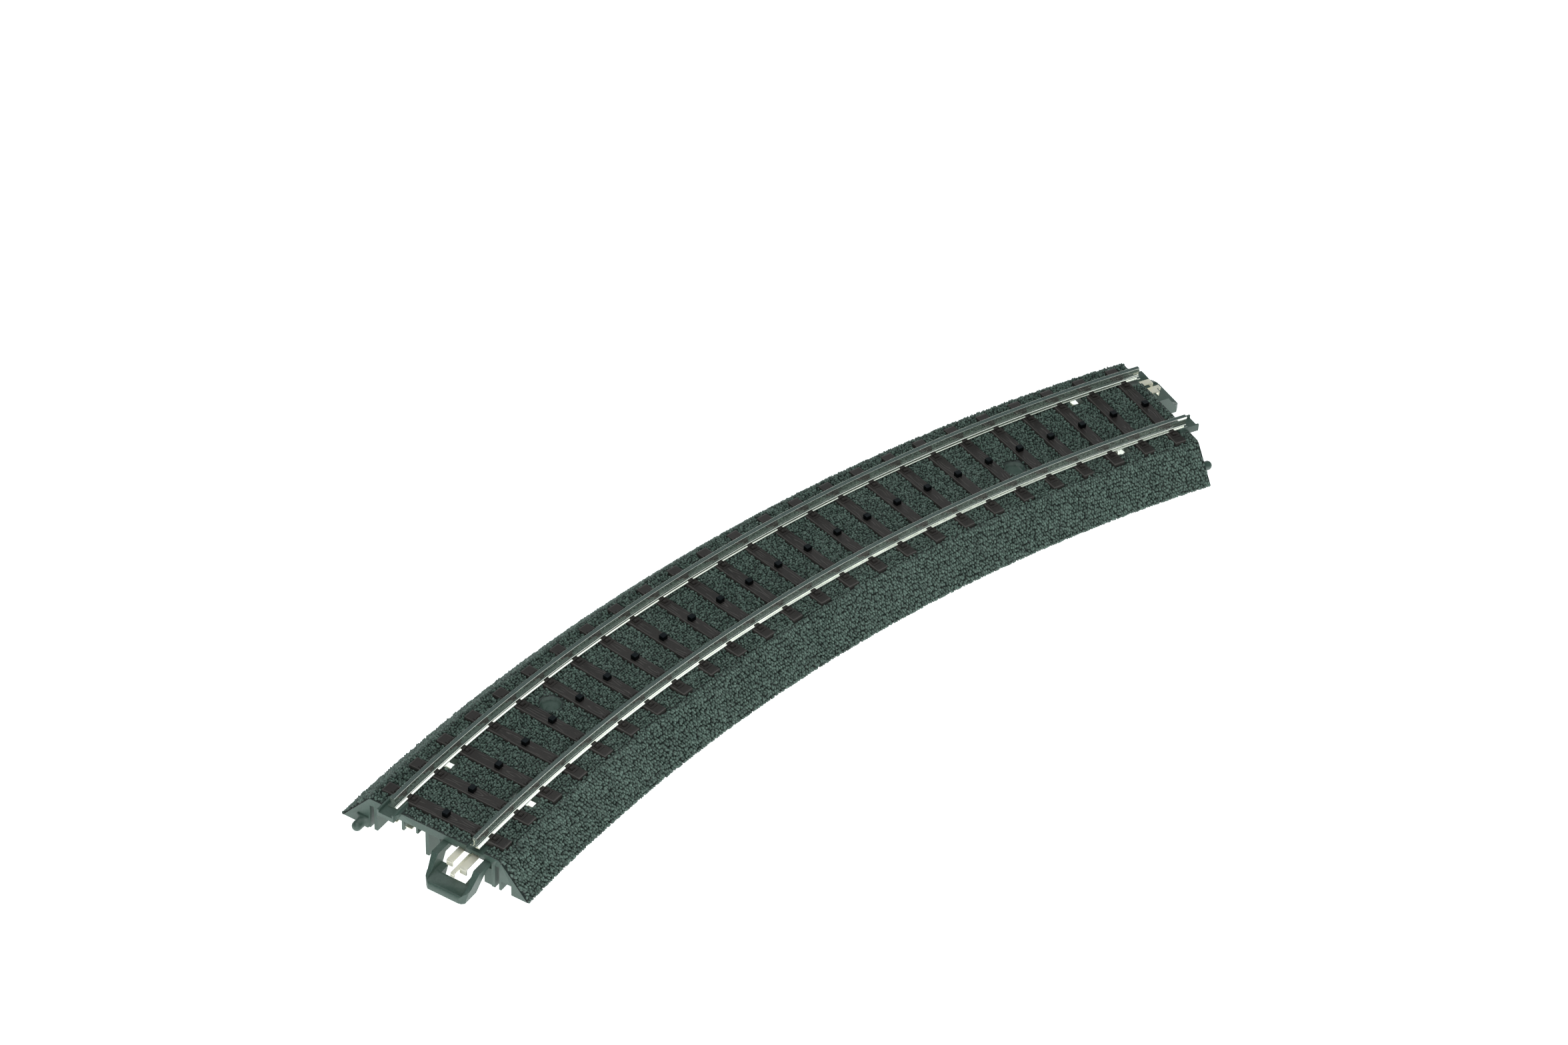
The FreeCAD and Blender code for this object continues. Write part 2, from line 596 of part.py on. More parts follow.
def screw_frame(side):
    sign = "-" if side == "left" else ""
    offset = "screw_offset" if side == "left" else "-screw_offset"
    return (f"placement(vector((curve_radius + {offset}) * sin({sign}screw_angle);"
            f" (curve_radius + {offset}) * cos(screw_angle) - curve_radius; 0); rotationz(0))")


def upright(name, frame, radius, low, high):
    """A vertical cylinder between two heights."""
    piece = doc.addObject("Part::Cylinder", name)
    piece.setExpression("Radius", bound(radius))
    piece.setExpression("Height", bound(f"({high}) - ({low})"))
    piece.setExpression("Placement", bound(shifted(frame, "0", "0", low)))
    return piece


def make_end_cuts(side):
    """Seats, slots, relief pockets, notches and windows at one end of the bed."""
    frame = END_FRAME[side]
    half_seat = "(trough_half_width + mating_gap)"
    half_notch = "(peg_radius + peg_clearance)"
    blocks = [
        ("seat", ("-trough_reach - mating_gap", f"rail_line - {half_seat}",
                  "sleeper_top - 2 * mating_gap - trough_floor"),
         ("cut_margin", f"rail_line + {half_seat}", "deck_top + cut_margin")),
        ("peg_notch", ("-end_wall - overlap", f"peg_offset - {half_notch}", "-cut_margin"),
         ("cut_margin", f"peg_offset + {half_notch}", f"peg_height + {half_notch}")),
    ]
    slots = [("near", "loop_near", "loop_near + loop_arm"),
             ("far", "loop_far - loop_arm", "loop_far")]
    for name, low, high in slots:
        blocks.append((f"{name}_slot",
                       ("-hinge_setback - hinge_radius - hinge_clearance",
                        f"{low} - hinge_clearance", "root_bottom - root_room"),
                       ("cut_margin", f"{high} + hinge_clearance", "loop_top + hinge_clearance")))
    for name in ("centre", "rail"):
        blocks.append((f"{name}_relief",
                       ("-spring_root - root_gap - sheet_metal", f"{name}_near - spring_clearance",
                        "under_deck - overlap"),
                       ("cut_margin", f"{name}_far + spring_clearance",
                        "under_deck + spring_relief")))
    for name, line in (("loop_rail", "rail_line"), ("trough_rail", "-rail_line")):
        blocks.append((f"{name}_window",
                       ("-lug_setback - lug_window_length", f"{line} - lug_window_width",
                        "under_deck - overlap"),
                       ("-lug_setback + lug_window_length", f"{line} + lug_window_width",
                        "deck_top + cut_margin")))
    pieces = [box(f"{side}_{name}", frame, low_corner, high_corner)
              for name, low_corner, high_corner in blocks]
    skin = "deck_top - recess_depth"
    place = screw_frame(side)
    pieces.append(upright(f"{side}_recess", place, "recess_radius", skin, "deck_top + cut_margin"))
    pieces.append(upright(f"{side}_screw_hole", place, "screw_hole_radius", "-cut_margin",
                          f"{skin} - membrane"))
    return pieces


def make_roadbed():
    shell = make_bed_shell()
    added = [shell]
    removed = [make_sleeper_pockets()]
    for side in SIDES:
        added += make_guides(side)
        added.append(upright(f"{side}_screw_post", screw_frame(side), "post_radius",
                             "post_foot_gap", "guide_top"))
        removed += make_end_cuts(side)
    roadbed = cut("roadbed", fuse("bed_with_details", added), fuse("bed_openings", removed))
    roadbed.Label = "roadbed"
    return roadbed


# ---- Contact metal ------------------------------------------------------------------------

def make_centre_conductor():
    """The contact strip under the deck, its studs, and a cross piece at each end."""
    body = new_body("conductor_strip", CURVE_FRAME)
    section = rectangle("-strip_half_width", "strip_half_width", "strip_bottom", "strip_top")
    outline = add_sketch(body, "strip_section", "XZ_Plane", [radial(section)])
    turn(body, "Revolution", "strip", outline,
         "arc_angle - 2 * strip_setback / curve_radius * per_radian")
    stud_outline = add_sketch(
        body, "stud_outline", "XY_Plane",
        [radial(rectangle("-stud_half_width", "stud_half_width",
                          "-stud_half_length", "stud_half_length"))],
        at_first_sleeper("strip_bottom"))
    stud = extrude(body, "Pad", "stud", stud_outline, "sleeper_top + stud_height - strip_bottom")
    around(body, "studs", [stud], "sleeper_count", "-2 * first_sleeper")
    pieces = [body]
    for side in SIDES:
        frame = END_FRAME[side]
        pieces.append(box(f"{side}_cross_piece", frame, ("-cross_far", "-blade_far", "strip_bottom"),
                          ("-cross_near", "centre_far", "strip_top")))
        pieces.append(box(f"{side}_spring_feed", frame,
                          ("-cross_near - overlap", "centre_near", "strip_bottom"),
                          ("contact_front", "centre_far", "strip_top")))
    conductor = fuse("centre_conductor", pieces)
    conductor.Label = "centre_conductor"
    return conductor


def make_rail_bus(side):
    """A stamped plate across both rails' lugs, with an arm that feeds the rail springs."""
    frame = END_FRAME[side]
    pieces = [
        box(f"{side}_bus_bar", frame,
            ("-lug_setback - bus_half_length", "-bus_reach", "bus_level"),
            ("-lug_setback + bus_half_length", "bus_reach", "bus_top")),
        box(f"{side}_bus_arm", frame, ("-lug_setback", "return_near", "bus_level"),
            ("contact_front", "rail_far", "bus_top")),
        box(f"{side}_bus_riser", frame, ("contact_front - sheet_metal", "rail_near", "bus_level"),
            ("contact_front", "rail_far", "spring_top")),
    ]
    bus = fuse(f"rail_bus_{side}", pieces)
    bus.Label = f"rail_bus_{side}"
    return bus


def make_blade(side, kind, low, high, back, riser_top=None):
    """A flat blade that the next section's spring presses on."""
    frame = END_FRAME[side]
    name = f"{kind}_contact_blade_{side}"
    pieces = [box(f"{name}_flat", frame, (back, low, "bus_level"),
                  ("-blade_setback", high, "bus_top"))]
    if riser_top:
        pieces.append(box(f"{name}_riser", frame, (back, low, "bus_level"),
                          (f"{back} + sheet_metal", high, riser_top)))
        blade = fuse(name, pieces)
    else:
        blade = pieces[0]
    blade.Label = name
    return blade


def make_tab(side, kind, low, top, back):
    """A flat feeder tab for a wire's receptacle, under the plate that it feeds."""
    name = f"{kind}_feeder_tab_{side}"
    tab = box(name, END_FRAME[side], (f"{back} - tab_length", low, f"{top} - tab_thickness"),
              (back, f"{low} + 2 * tab_half_width", top))
    tab.Label = name
    return tab


def make_spring(side, kind, top):
    """A bent strip of spring metal: a flat tongue with its tip folded down."""
    name = f"{kind}_contact_spring_{side}"
    middle = f"({kind}_near + {kind}_far) / 2"
    body = new_body(name, shifted(END_FRAME[side], "0", middle, "0"))
    tip = f"{kind}_spring_tip"
    tip_end = f"{top} - {kind}_spring_drop"
    outline = [
        ("-spring_root", f"{top} - sheet_metal"),
        ("-spring_root", top),
        (f"{tip} - sheet_metal", top),
        (tip, f"{top} - sheet_metal"),
        (tip, tip_end),
        (f"{tip} - sheet_metal", tip_end),
        (f"{tip} - sheet_metal", f"{top} - 1.5 * sheet_metal"),
        (f"{tip} - 1.5 * sheet_metal", f"{top} - sheet_metal"),
    ]
    sketch = add_sketch(body, f"{name}_outline", "XZ_Plane", [outline])
    extrude(body, "Pad", f"{name}_strip", sketch, f"{kind}_spring_width", midplane=True)
    return body


# ---- Coupling loop ------------------------------------------------------------------------

def make_loop(side):
    """The click loop: two arms that slope down to a bar, round an open window."""
    name = f"latch_loop_{side}"
    body = new_body(name, shifted(END_FRAME[side], "0", "loop_centre", "0"))
    profile = [
        ("-hinge_setback", "root_bottom"),
        ("-hinge_setback", "loop_top"),
        ("loop_crease", "loop_top"),
        ("loop_reach - bar_front", "bar_back + crease_rise"),
        ("loop_reach", "bar_front"),
        ("loop_reach", "loop_base + chin_rise"),
        ("loop_reach - chin_length", "loop_base"),
        ("loop_crease - chin_length / 2", "loop_base"),
        ("hinge_radius + chin_length", "root_bottom"),
    ]
    outline = add_sketch(body, f"{name}_side", "XZ_Plane", [profile])
    extrude(body, "Pad", f"{name}_block", outline, "2 * loop_half", midplane=True)
    root = add_circle(body, f"{name}_root_outline", "XZ_Plane", "-hinge_setback",
                      "loop_top - hinge_radius", "hinge_radius")
    extrude(body, "Pad", f"{name}_root", root, "2 * loop_half", midplane=True)
    wedge = [
        ("loop_half", "loop_top"),
        ("loop_half + cut_margin", "loop_top"),
        ("loop_half + cut_margin", "0"),
        ("loop_half - loop_lean", "0"),
    ]
    sides = [wedge, [(f"-({x})", y) for x, y in wedge]]
    outline = add_sketch(body, f"{name}_lean", "YZ_Plane", sides)
    extrude(body, "Pocket", f"{name}_lean_cut", outline, "4 * loop_reach", midplane=True)
    corner = [
        ("loop_crease + corner_start", "loop_half + overlap"),
        ("loop_reach - corner_length", "loop_half - corner_inset"),
        ("loop_reach + overlap", "loop_half - corner_width"),
        ("loop_reach + cut_margin", "loop_half - corner_width"),
        ("loop_reach + cut_margin", "loop_half + cut_margin"),
        ("loop_crease + corner_start", "loop_half + cut_margin"),
    ]
    corners = [corner, [(x, f"-({y})") for x, y in corner]]
    outline = add_sketch(body, f"{name}_corners", "XY_Plane", corners)
    extrude(body, "Pocket", f"{name}_corner_cut", outline, "4 * loop_top", midplane=True)
    back = "loop_reach - loop_bar"
    fall = "cut_margin * (bar_back - bar_front) / loop_bar"
    scoop = [
        ("-2 * hinge_setback", "bar_back"),
        ("-2 * hinge_setback", "loop_top + cut_margin"),
        ("loop_reach + cut_margin", "loop_top + cut_margin"),
        ("loop_reach + cut_margin", f"bar_front - {fall}"),
        (back, "bar_back"),
    ]
    outline = add_sketch(body, f"{name}_scoop", "XZ_Plane", [scoop])
    extrude(body, "Pocket", f"{name}_scoop_cut", outline, "2 * (loop_half - loop_arm)",
            midplane=True)
    window = rectangle("-2 * hinge_setback", back, "-cut_margin", "bar_back + cut_margin")
    outline = add_sketch(body, f"{name}_window", "XZ_Plane", [window])
    extrude(body, "Pocket", f"{name}_window_cut", outline,
            "2 * (loop_half - loop_arm - loop_step)", midplane=True)
    return body


# ---- Assembly -----------------------------------------------------------------------------

parts = [
    make_roadbed(),
    make_sleepers(),
    make_rail("outer_rail", "rail_line"),
    make_rail("inner_rail", "-rail_line"),
    make_centre_conductor(),
]
for side in SIDES:
    parts += [
        make_loop(side),
        make_rail_bus(side),
        make_blade(side, "rail", "-rail_far", "-rail_near", "-lug_setback + bus_half_length"),
        make_blade(side, "centre", "-blade_far", "-blade_near", "-cross_far", "strip_bottom"),
        make_spring(side, "rail", "spring_top"),
        make_spring(side, "centre", "spring_top"),
        make_spring(side, "return", "bus_top"),
        make_tab(side, "rail", "rail_tab_place", "bus_level", "-lug_setback"),
        make_tab(side, "centre", "-tab_half_width", "strip_bottom", "-centre_tab_setback"),
    ]
doc.recompute()

for item in doc.Objects:
    if "Invalid" in item.State or "Error" in item.State:
        raise RuntimeError(f"{item.Name} is {item.State}")

os.makedirs("parts", exist_ok=True)
for part in parts:
    shape = part.Shape
    if shape.isNull() or not shape.isValid() or not shape.Solids:
        raise RuntimeError(f"{part.Label} has no valid solid")
    shape.exportStep(f"parts/{part.Label}.step")
    print(f"{part.Label}: {len(shape.Solids)} solid(s), {shape.Volume:.1f} mm3")
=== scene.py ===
# %% [markdown]
# # A curved model-railway track section on its ballast bed
#
# The real section is a grey-green plastic bed moulded with ballast stones, brown plastic sleepers,
# two bright nickel rails, a row of black contact studs, and a sprung plastic loop with thin
# contact springs at each end. The engineering model gives every piece its place and size. This
# notebook only adds looks: it loads that model as a fixed frame and dresses it, piece by piece.

# %% Load the fixed frame
import math
import random

import bmesh
import bpy
import numpy as np
from mathutils import Matrix, Vector, noise


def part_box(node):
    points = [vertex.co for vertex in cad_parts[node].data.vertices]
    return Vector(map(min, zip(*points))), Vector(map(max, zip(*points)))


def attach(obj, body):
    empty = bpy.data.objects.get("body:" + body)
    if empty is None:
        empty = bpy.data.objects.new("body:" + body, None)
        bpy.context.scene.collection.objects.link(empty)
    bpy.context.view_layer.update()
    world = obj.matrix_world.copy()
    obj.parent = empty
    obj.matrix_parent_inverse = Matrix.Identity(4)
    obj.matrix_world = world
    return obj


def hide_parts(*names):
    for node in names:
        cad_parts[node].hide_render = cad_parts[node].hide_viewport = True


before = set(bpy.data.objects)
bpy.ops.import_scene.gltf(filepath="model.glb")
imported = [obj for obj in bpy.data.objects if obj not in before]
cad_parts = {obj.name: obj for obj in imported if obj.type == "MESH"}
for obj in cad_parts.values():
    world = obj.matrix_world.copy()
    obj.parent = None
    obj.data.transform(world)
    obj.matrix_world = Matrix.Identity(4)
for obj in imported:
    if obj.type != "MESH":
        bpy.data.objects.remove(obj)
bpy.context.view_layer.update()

print("nodes in the frame:", len(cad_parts))

# %% [markdown]
# ## Units and the two local frames
#
# Blender works in metres, and a stone of ballast is under a millimetre, so everything is modelled
# in millimetres and made metres when a piece is finished. Small numbers also trouble the bevel
# operator, which is one more reason. Almost every detail repeats along the curve, so one function
# turns "this far across, this angle round" into a placement.

# %% Driving sizes, in millimetres and radians
MM = 0.001
HALF_ARC = math.radians(15)


def node_box(name):
    low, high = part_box(name)
    return low / MM, high / MM


RAIL_FOOT = 1.0                                      # half width of the rail foot
rail_corner = node_box("outer_rail")[1]
RAIL_OFFSET = rail_corner.y - RAIL_FOOT
CURVE_RADIUS = rail_corner.x / math.sin(HALF_ARC) - RAIL_OFFSET - RAIL_FOOT
BED_HALF_WIDTH = node_box("roadbed")[1].y
SLEEPER_TOP = 7.4
SLEEPER_HALF_LENGTH = 13.05
SLEEPER_HALF_WIDTH = 1.175
SLEEPER_COUNT = 25
SLEEPER_PITCH = 2 * HALF_ARC / SLEEPER_COUNT
SLEEPER_ANGLES = [(i + 0.5) * SLEEPER_PITCH - HALF_ARC for i in range(SLEEPER_COUNT)]
DECK_TOP = 6.9
DECK_HALF_WIDTH = 13.5
SHOULDER = Vector((14, 6.6))                         # across, height
FOOT_INSET = 0.4                                     # room for the lowest stones
BED_FOOT = Vector((BED_HALF_WIDTH - FOOT_INSET, 0))
print(f"curve radius {CURVE_RADIUS:.2f} mm, rails {RAIL_OFFSET:.2f} mm from the middle,",
      f"bed {BED_HALF_WIDTH:.2f} mm")


# %% Placements
def on_curve(angle, across=0, height=0):
    """X points away from the curve's centre, Y back along the track, Z up."""
    return (Matrix.Translation((0, -CURVE_RADIUS, 0))
            @ Matrix.Rotation(math.pi / 2 - angle, 4, "Z")
            @ Matrix.Translation((CURVE_RADIUS + across, 0, height)))


def track_place(point):
    """A point's distance round the curve, across it and above the ground."""
    radius = math.hypot(point.x, point.y + CURVE_RADIUS)
    angle = math.atan2(point.x, point.y + CURVE_RADIUS)
    return Vector((angle * CURVE_RADIUS, radius - CURVE_RADIUS, point.z))


# %% [markdown]
# ## Camera, floor and light
#
# A small product like this is shown on a white table. One big soft box hangs overhead, one stands
# in front on the left, and a weaker one stands behind on the right. The room around them stays
# dark, so the flat tops of the rails are darker than their sides, which pick up the white table.
# The table glows a little, which takes the shadows away.

# %% Camera
CAMERA_AZIMUTH = math.radians(-45.162)
CAMERA_ELEVATION = math.radians(39.446)
CAMERA_ROLL = math.radians(2.975)
CAMERA_DISTANCE = 0.7363
CAMERA_TARGET = Vector((0.01603, 0.01503, 0))
CAMERA_LENS = 87.42
SENSOR_WIDTH = 36
NEAREST_SEEN = 0.01


def add_camera():
    level = math.cos(CAMERA_ELEVATION)
    back = Vector((math.sin(CAMERA_AZIMUTH) * level, -math.cos(CAMERA_AZIMUTH) * level,
                   math.sin(CAMERA_ELEVATION)))
    right = Vector((math.cos(CAMERA_AZIMUTH), math.sin(CAMERA_AZIMUTH), 0))
    up = back.cross(right)
    turn = Matrix((right, up, back)).transposed().to_4x4()
    data = bpy.data.cameras.new("camera")
    data.sensor_width = SENSOR_WIDTH
    data.lens = CAMERA_LENS
    data.clip_start = NEAREST_SEEN
    camera = bpy.data.objects.new("camera", data)
    camera.matrix_world = (Matrix.Translation(CAMERA_TARGET + CAMERA_DISTANCE * back)
                           @ turn @ Matrix.Rotation(CAMERA_ROLL, 4, "Z"))
    bpy.context.collection.objects.link(camera)
    bpy.context.scene.camera = camera


add_camera()


# %% Nodes helper
def node(tree, kind, values=None, **settings):
    """A shader node with its settings, and its sockets' plain numbers or links."""
    made = tree.nodes.new(kind)
    for name, value in settings.items():
        setattr(made, name, value)
    for name, value in (values or {}).items():
        if isinstance(value, bpy.types.NodeSocket):
            tree.links.new(value, made.inputs[name])
        else:
            made.inputs[name].default_value = value
    return made


def ramp(tree, factor, stops):
    """A colour ramp with (place, colour) stops."""
    made = node(tree, "ShaderNodeValToRGB", {"Fac": factor})
    while len(made.color_ramp.elements) < len(stops):
        made.color_ramp.elements.new(0.5)
    for element, (place, colour) in zip(made.color_ramp.elements, stops):
        element.position = place
        element.color = (*colour, 1)
    return made.outputs["Color"]


def mix_colours(tree, factor, first, second, blend="MIX"):
    return node(tree, "ShaderNodeMix", {0: factor, 6: first, 7: second}, data_type="RGBA",
                blend_type=blend).outputs[2]


def mix_numbers(tree, factor, first, second):
    return node(tree, "ShaderNodeMix", {0: factor, 2: first, 3: second},
                data_type="FLOAT").outputs[0]


def blank_material(name):
    material = bpy.data.materials.new(name)
    material.use_nodes = True
    material.node_tree.nodes.clear()
    return material, material.node_tree


# %% Floor and light, in metres and watts
FLOOR_HALF_WIDTH = 2
FLOOR_GAP = 0.05 * MM                                # keeps bed and table out of one plane
SOFT_BOXES = {                                       # width, power, place
    "overhead_soft_box": (0.8, 2.6, (0, -0.02, 0.6)),
    "front_soft_box": (0.7, 2.9, (-0.57, -0.57, 0.26)),
    "back_soft_box": (0.5, 0.9, (0.6, 0.55, 0.16))}


def add_floor():
    bm = bmesh.new()
    bmesh.ops.create_grid(bm, x_segments=1, y_segments=1, size=FLOOR_HALF_WIDTH)
    mesh = bpy.data.meshes.new("floor")
    bm.to_mesh(mesh)
    bm.free()
    floor = bpy.data.objects.new("floor", mesh)
    floor.location.z = -FLOOR_GAP
    bpy.context.collection.objects.link(floor)
    material, tree = blank_material("white_table")
    surface = node(tree, "ShaderNodeBsdfPrincipled", {
        "Base Color": (0.8, 0.84, 0.83, 1), "Roughness": 0.6,
        "Emission Color": (0.98, 1, 0.997, 1), "Emission Strength": 1.0})
    node(tree, "ShaderNodeOutputMaterial", {"Surface": surface.outputs["BSDF"]})
    floor.data.materials.append(material)


def add_soft_box(name, size, power, place):
    """A square light that faces the origin."""
    data = bpy.data.lights.new(name, "AREA")
    data.shape = "SQUARE"
    data.size = size
    data.energy = power
    light = bpy.data.objects.new(name, data)
    light.location = place
    light.rotation_euler = (Vector() - Vector(place)).to_track_quat("-Z", "Y").to_euler()
    bpy.context.collection.objects.link(light)


def add_room():
    world = bpy.data.worlds.new("room")
    world.use_nodes = True
    world.node_tree.nodes["Background"].inputs["Color"].default_value = (0.035, 0.06, 0.062, 1)
    bpy.context.scene.world = world


add_floor()
for name, (size, power, place) in SOFT_BOXES.items():
    add_soft_box(name, size, power, place)
add_room()
bpy.context.scene.view_settings.view_transform = "Standard"
print("lights:", len(SOFT_BOXES))


# %% [markdown]
# ## Shared shader groups
#
# Three effects are used by more than one finish, so each is a node group: the fine skin that a
# mould leaves on plastic, dust that settles on faces that look up, and the drawn scratches of
# rolled and stamped metal. A group only puts out masks, values, colours and normals, and each
# material keeps its own shader.

# %% Group helper
def new_group(name, inputs, outputs):
    tree = bpy.data.node_groups.new(name, "ShaderNodeTree")
    for socket, kind, value in inputs:
        made = tree.interface.new_socket(socket, in_out="INPUT", socket_type=kind)
        made.default_value = value
    for socket, kind in outputs:
        tree.interface.new_socket(socket, in_out="OUTPUT", socket_type=kind)
    return tree, tree.nodes.new("NodeGroupInput").outputs, tree.nodes.new("NodeGroupOutput")


def use_group(tree, group, values):
    return node(tree, "ShaderNodeGroup", values, node_tree=group).outputs


# %% Mould skin: the fine texture that a mould leaves on plastic
def make_mould_skin():
    tree, given, result = new_group(
        "mould_skin",
        [("Grain Size", "NodeSocketFloat", 0.2), ("Depth", "NodeSocketFloat", 0.3)],
        [("Tone", "NodeSocketFloat"), ("Normal", "NodeSocketVector")])
    place = node(tree, "ShaderNodeTexCoord").outputs["Object"]
    scale = node(tree, "ShaderNodeMath", {0: 1 / MM, 1: given["Grain Size"]},
                 operation="DIVIDE").outputs[0]
    fine = node(tree, "ShaderNodeTexNoise", {"Vector": place, "Scale": scale, "Detail": 3.0})
    broad = node(tree, "ShaderNodeTexNoise", {"Vector": place, "Scale": 110.0, "Detail": 2.0})
    tone = mix_numbers(tree, 0.45, fine.outputs["Fac"], broad.outputs["Fac"])
    tree.links.new(tone, result.inputs["Tone"])
    bump = node(tree, "ShaderNodeBump", {
        "Height": fine.outputs["Fac"], "Strength": given["Depth"], "Distance": 0.1 * MM})
    tree.links.new(bump.outputs["Normal"], result.inputs["Normal"])
    return tree


mould_skin = make_mould_skin()


# %% Settled dust: a paler film on faces that look up, in soft patches
def make_settled_dust():
    tree, given, result = new_group(
        "settled_dust",
        [("Color", "NodeSocketColor", (0.5, 0.5, 0.5, 1)),
         ("Dust", "NodeSocketColor", (0.3, 0.33, 0.31, 1)),
         ("Amount", "NodeSocketFloat", 0.2)],
        [("Color", "NodeSocketColor"), ("Mask", "NodeSocketFloat")])
    place = node(tree, "ShaderNodeTexCoord").outputs["Object"]
    facing = node(tree, "ShaderNodeSeparateXYZ",
                  {"Vector": node(tree, "ShaderNodeNewGeometry").outputs["Normal"]})
    patch = node(tree, "ShaderNodeTexNoise", {"Vector": place, "Scale": 70.0, "Detail": 5.0})
    upward = node(tree, "ShaderNodeMapRange", {
        "Value": facing.outputs["Z"], "From Min": 0.2, "From Max": 1.0}, clamp=True)
    patches = node(tree, "ShaderNodeMapRange", {
        "Value": patch.outputs["Fac"], "From Min": 0.35, "From Max": 0.7}, clamp=True)
    both = node(tree, "ShaderNodeMath",
                {0: upward.outputs["Result"], 1: patches.outputs["Result"]}, operation="MULTIPLY")
    mask = node(tree, "ShaderNodeMath", {0: both.outputs[0], 1: given["Amount"]},
                operation="MULTIPLY").outputs[0]
    mixed = mix_colours(tree, mask, given["Color"], given["Dust"])
    tree.links.new(mixed, result.inputs["Color"])
    tree.links.new(mask, result.inputs["Mask"])
    return tree


settled_dust = make_settled_dust()


# %% Drawn metal: fine lines along the track, and duller handled patches
def make_drawn_metal():
    tree, given, result = new_group(
        "drawn_metal",
        [("Polished", "NodeSocketFloat", 0.15), ("Dull", "NodeSocketFloat", 0.35),
         ("Line Depth", "NodeSocketFloat", 0.1)],
        [("Roughness", "NodeSocketFloat"), ("Normal", "NodeSocketVector"),
         ("Patch", "NodeSocketFloat")])
    place = node(tree, "ShaderNodeAttribute", attribute_name="track_place").outputs["Vector"]
    along = node(tree, "ShaderNodeMapping", {"Vector": place, "Scale": (0.03, 3, 3)})
    lines = node(tree, "ShaderNodeTexNoise",
                 {"Vector": along.outputs["Vector"], "Scale": 1.0, "Detail": 1.0})
    patch = node(tree, "ShaderNodeTexNoise", {"Vector": place, "Scale": 0.35, "Detail": 4.0})
    mixed = node(tree, "ShaderNodeMath",
                 {0: lines.outputs["Fac"], 1: patch.outputs["Fac"]}, operation="MULTIPLY")
    rough = node(tree, "ShaderNodeMapRange", {
        "Value": mixed.outputs[0], "From Min": 0.15, "From Max": 0.4,
        "To Min": given["Polished"], "To Max": given["Dull"]}, clamp=True)
    bump = node(tree, "ShaderNodeBump", {
        "Height": lines.outputs["Fac"], "Strength": given["Line Depth"], "Distance": 0.02 * MM})
    tree.links.new(rough.outputs["Result"], result.inputs["Roughness"])
    tree.links.new(bump.outputs["Normal"], result.inputs["Normal"])
    tree.links.new(patch.outputs["Fac"], result.inputs["Patch"])
    return tree


drawn_metal = make_drawn_metal()


# %% [markdown]
# ## Finishes
#
# The bed and the loops are one grey-green plastic. Where it is smooth it has a soft sheen, and
# where it is moulded as stones each stone is a slightly different grey. A painted shade darkens
# the bed between the stones and each stone towards its foot. The sleepers are a dark brown
# plastic, paler along the grain and the edges, partly from wear and partly as a painted
# highlight, and their sides are painted a little paler as painted light. Rails and springs are
# bright nickel, and the studs are blackened metal.

# %% Plastics
def finish_plastic(tree, skin, colour, dust, amount, roughness):
    """Adds dust, a roughness between two values that follows the skin, and the shader."""
    dusty = use_group(tree, settled_dust, {"Color": colour, "Dust": (*dust, 1),
                                           "Amount": amount})
    rough = node(tree, "ShaderNodeMapRange", {
        "Value": skin["Tone"], "From Min": 0.3, "From Max": 0.7,
        "To Min": roughness[0], "To Max": roughness[1]})
    surface = node(tree, "ShaderNodeBsdfPrincipled", {
        "Base Color": dusty["Color"], "Roughness": rough.outputs["Result"],
        "Normal": skin["Normal"], "IOR": 1.5})
    node(tree, "ShaderNodeOutputMaterial", {"Surface": surface.outputs["BSDF"]})


def attribute(tree, name):
    return node(tree, "ShaderNodeAttribute", attribute_name=name).outputs["Fac"]


def make_smooth_plastic():
    material, tree = blank_material("roadbed_smooth_plastic")
    skin = use_group(tree, mould_skin, {"Grain Size": 0.35, "Depth": 0.12})
    own = ramp(tree, skin["Tone"], [(0.3, (0.048, 0.083, 0.068)), (0.7, (0.08, 0.13, 0.107))])
    # Painted shade: the bed is darkened where it lies between stones.
    gaps = mix_colours(tree, attribute(tree, "painted_gap_shade"), own, (0.02, 0.034, 0.029, 1))
    finish_plastic(tree, skin, gaps, (0.2, 0.24, 0.22), 0.1, (0.34, 0.5))
    return material


def make_stone_plastic():
    material, tree = blank_material("roadbed_stone_plastic")
    skin = use_group(tree, mould_skin, {"Grain Size": 0.25, "Depth": 0.35})
    tone = mix_numbers(tree, 0.35, attribute(tree, "stone_shade"), skin["Tone"])
    own = ramp(tree, tone, [(0.1, (0.052, 0.09, 0.074)), (0.9, (0.18, 0.275, 0.23))])
    # Painted shade: each stone is darkened towards its foot, where the gaps between stones lie in
    # shadow.
    foot = node(tree, "ShaderNodeMapRange", {
        "Value": attribute(tree, "stone_rise"), "From Min": 0.12, "From Max": 1.05,
        "To Min": 0.04, "To Max": 1.0}, clamp=True)
    shaded = mix_colours(tree, 1.0, own, foot.outputs["Result"], "MULTIPLY")
    finish_plastic(tree, skin, shaded, (0.18, 0.22, 0.2), 0.25, (0.42, 0.62))
    return material


def make_sleeper_plastic():
    material, tree = blank_material("sleeper_brown_plastic")
    skin = use_group(tree, mould_skin, {"Grain Size": 0.3, "Depth": 0.3})
    body = ramp(tree, skin["Tone"],
                [(0.3, (0.011, 0.0095, 0.008)), (0.7, (0.023, 0.0185, 0.0165))])
    # The pale mix is partly wear and partly a painted highlight on ridges and edges, and painted
    # light on the sides.
    grain_wear_and_highlight = mix_colours(tree, attribute(tree, "ridge"), body, (0.16, 0.15, 0.14, 1))
    finish_plastic(tree, skin, grain_wear_and_highlight, (0.2, 0.18, 0.16), 0.05, (0.4, 0.58))
    return material


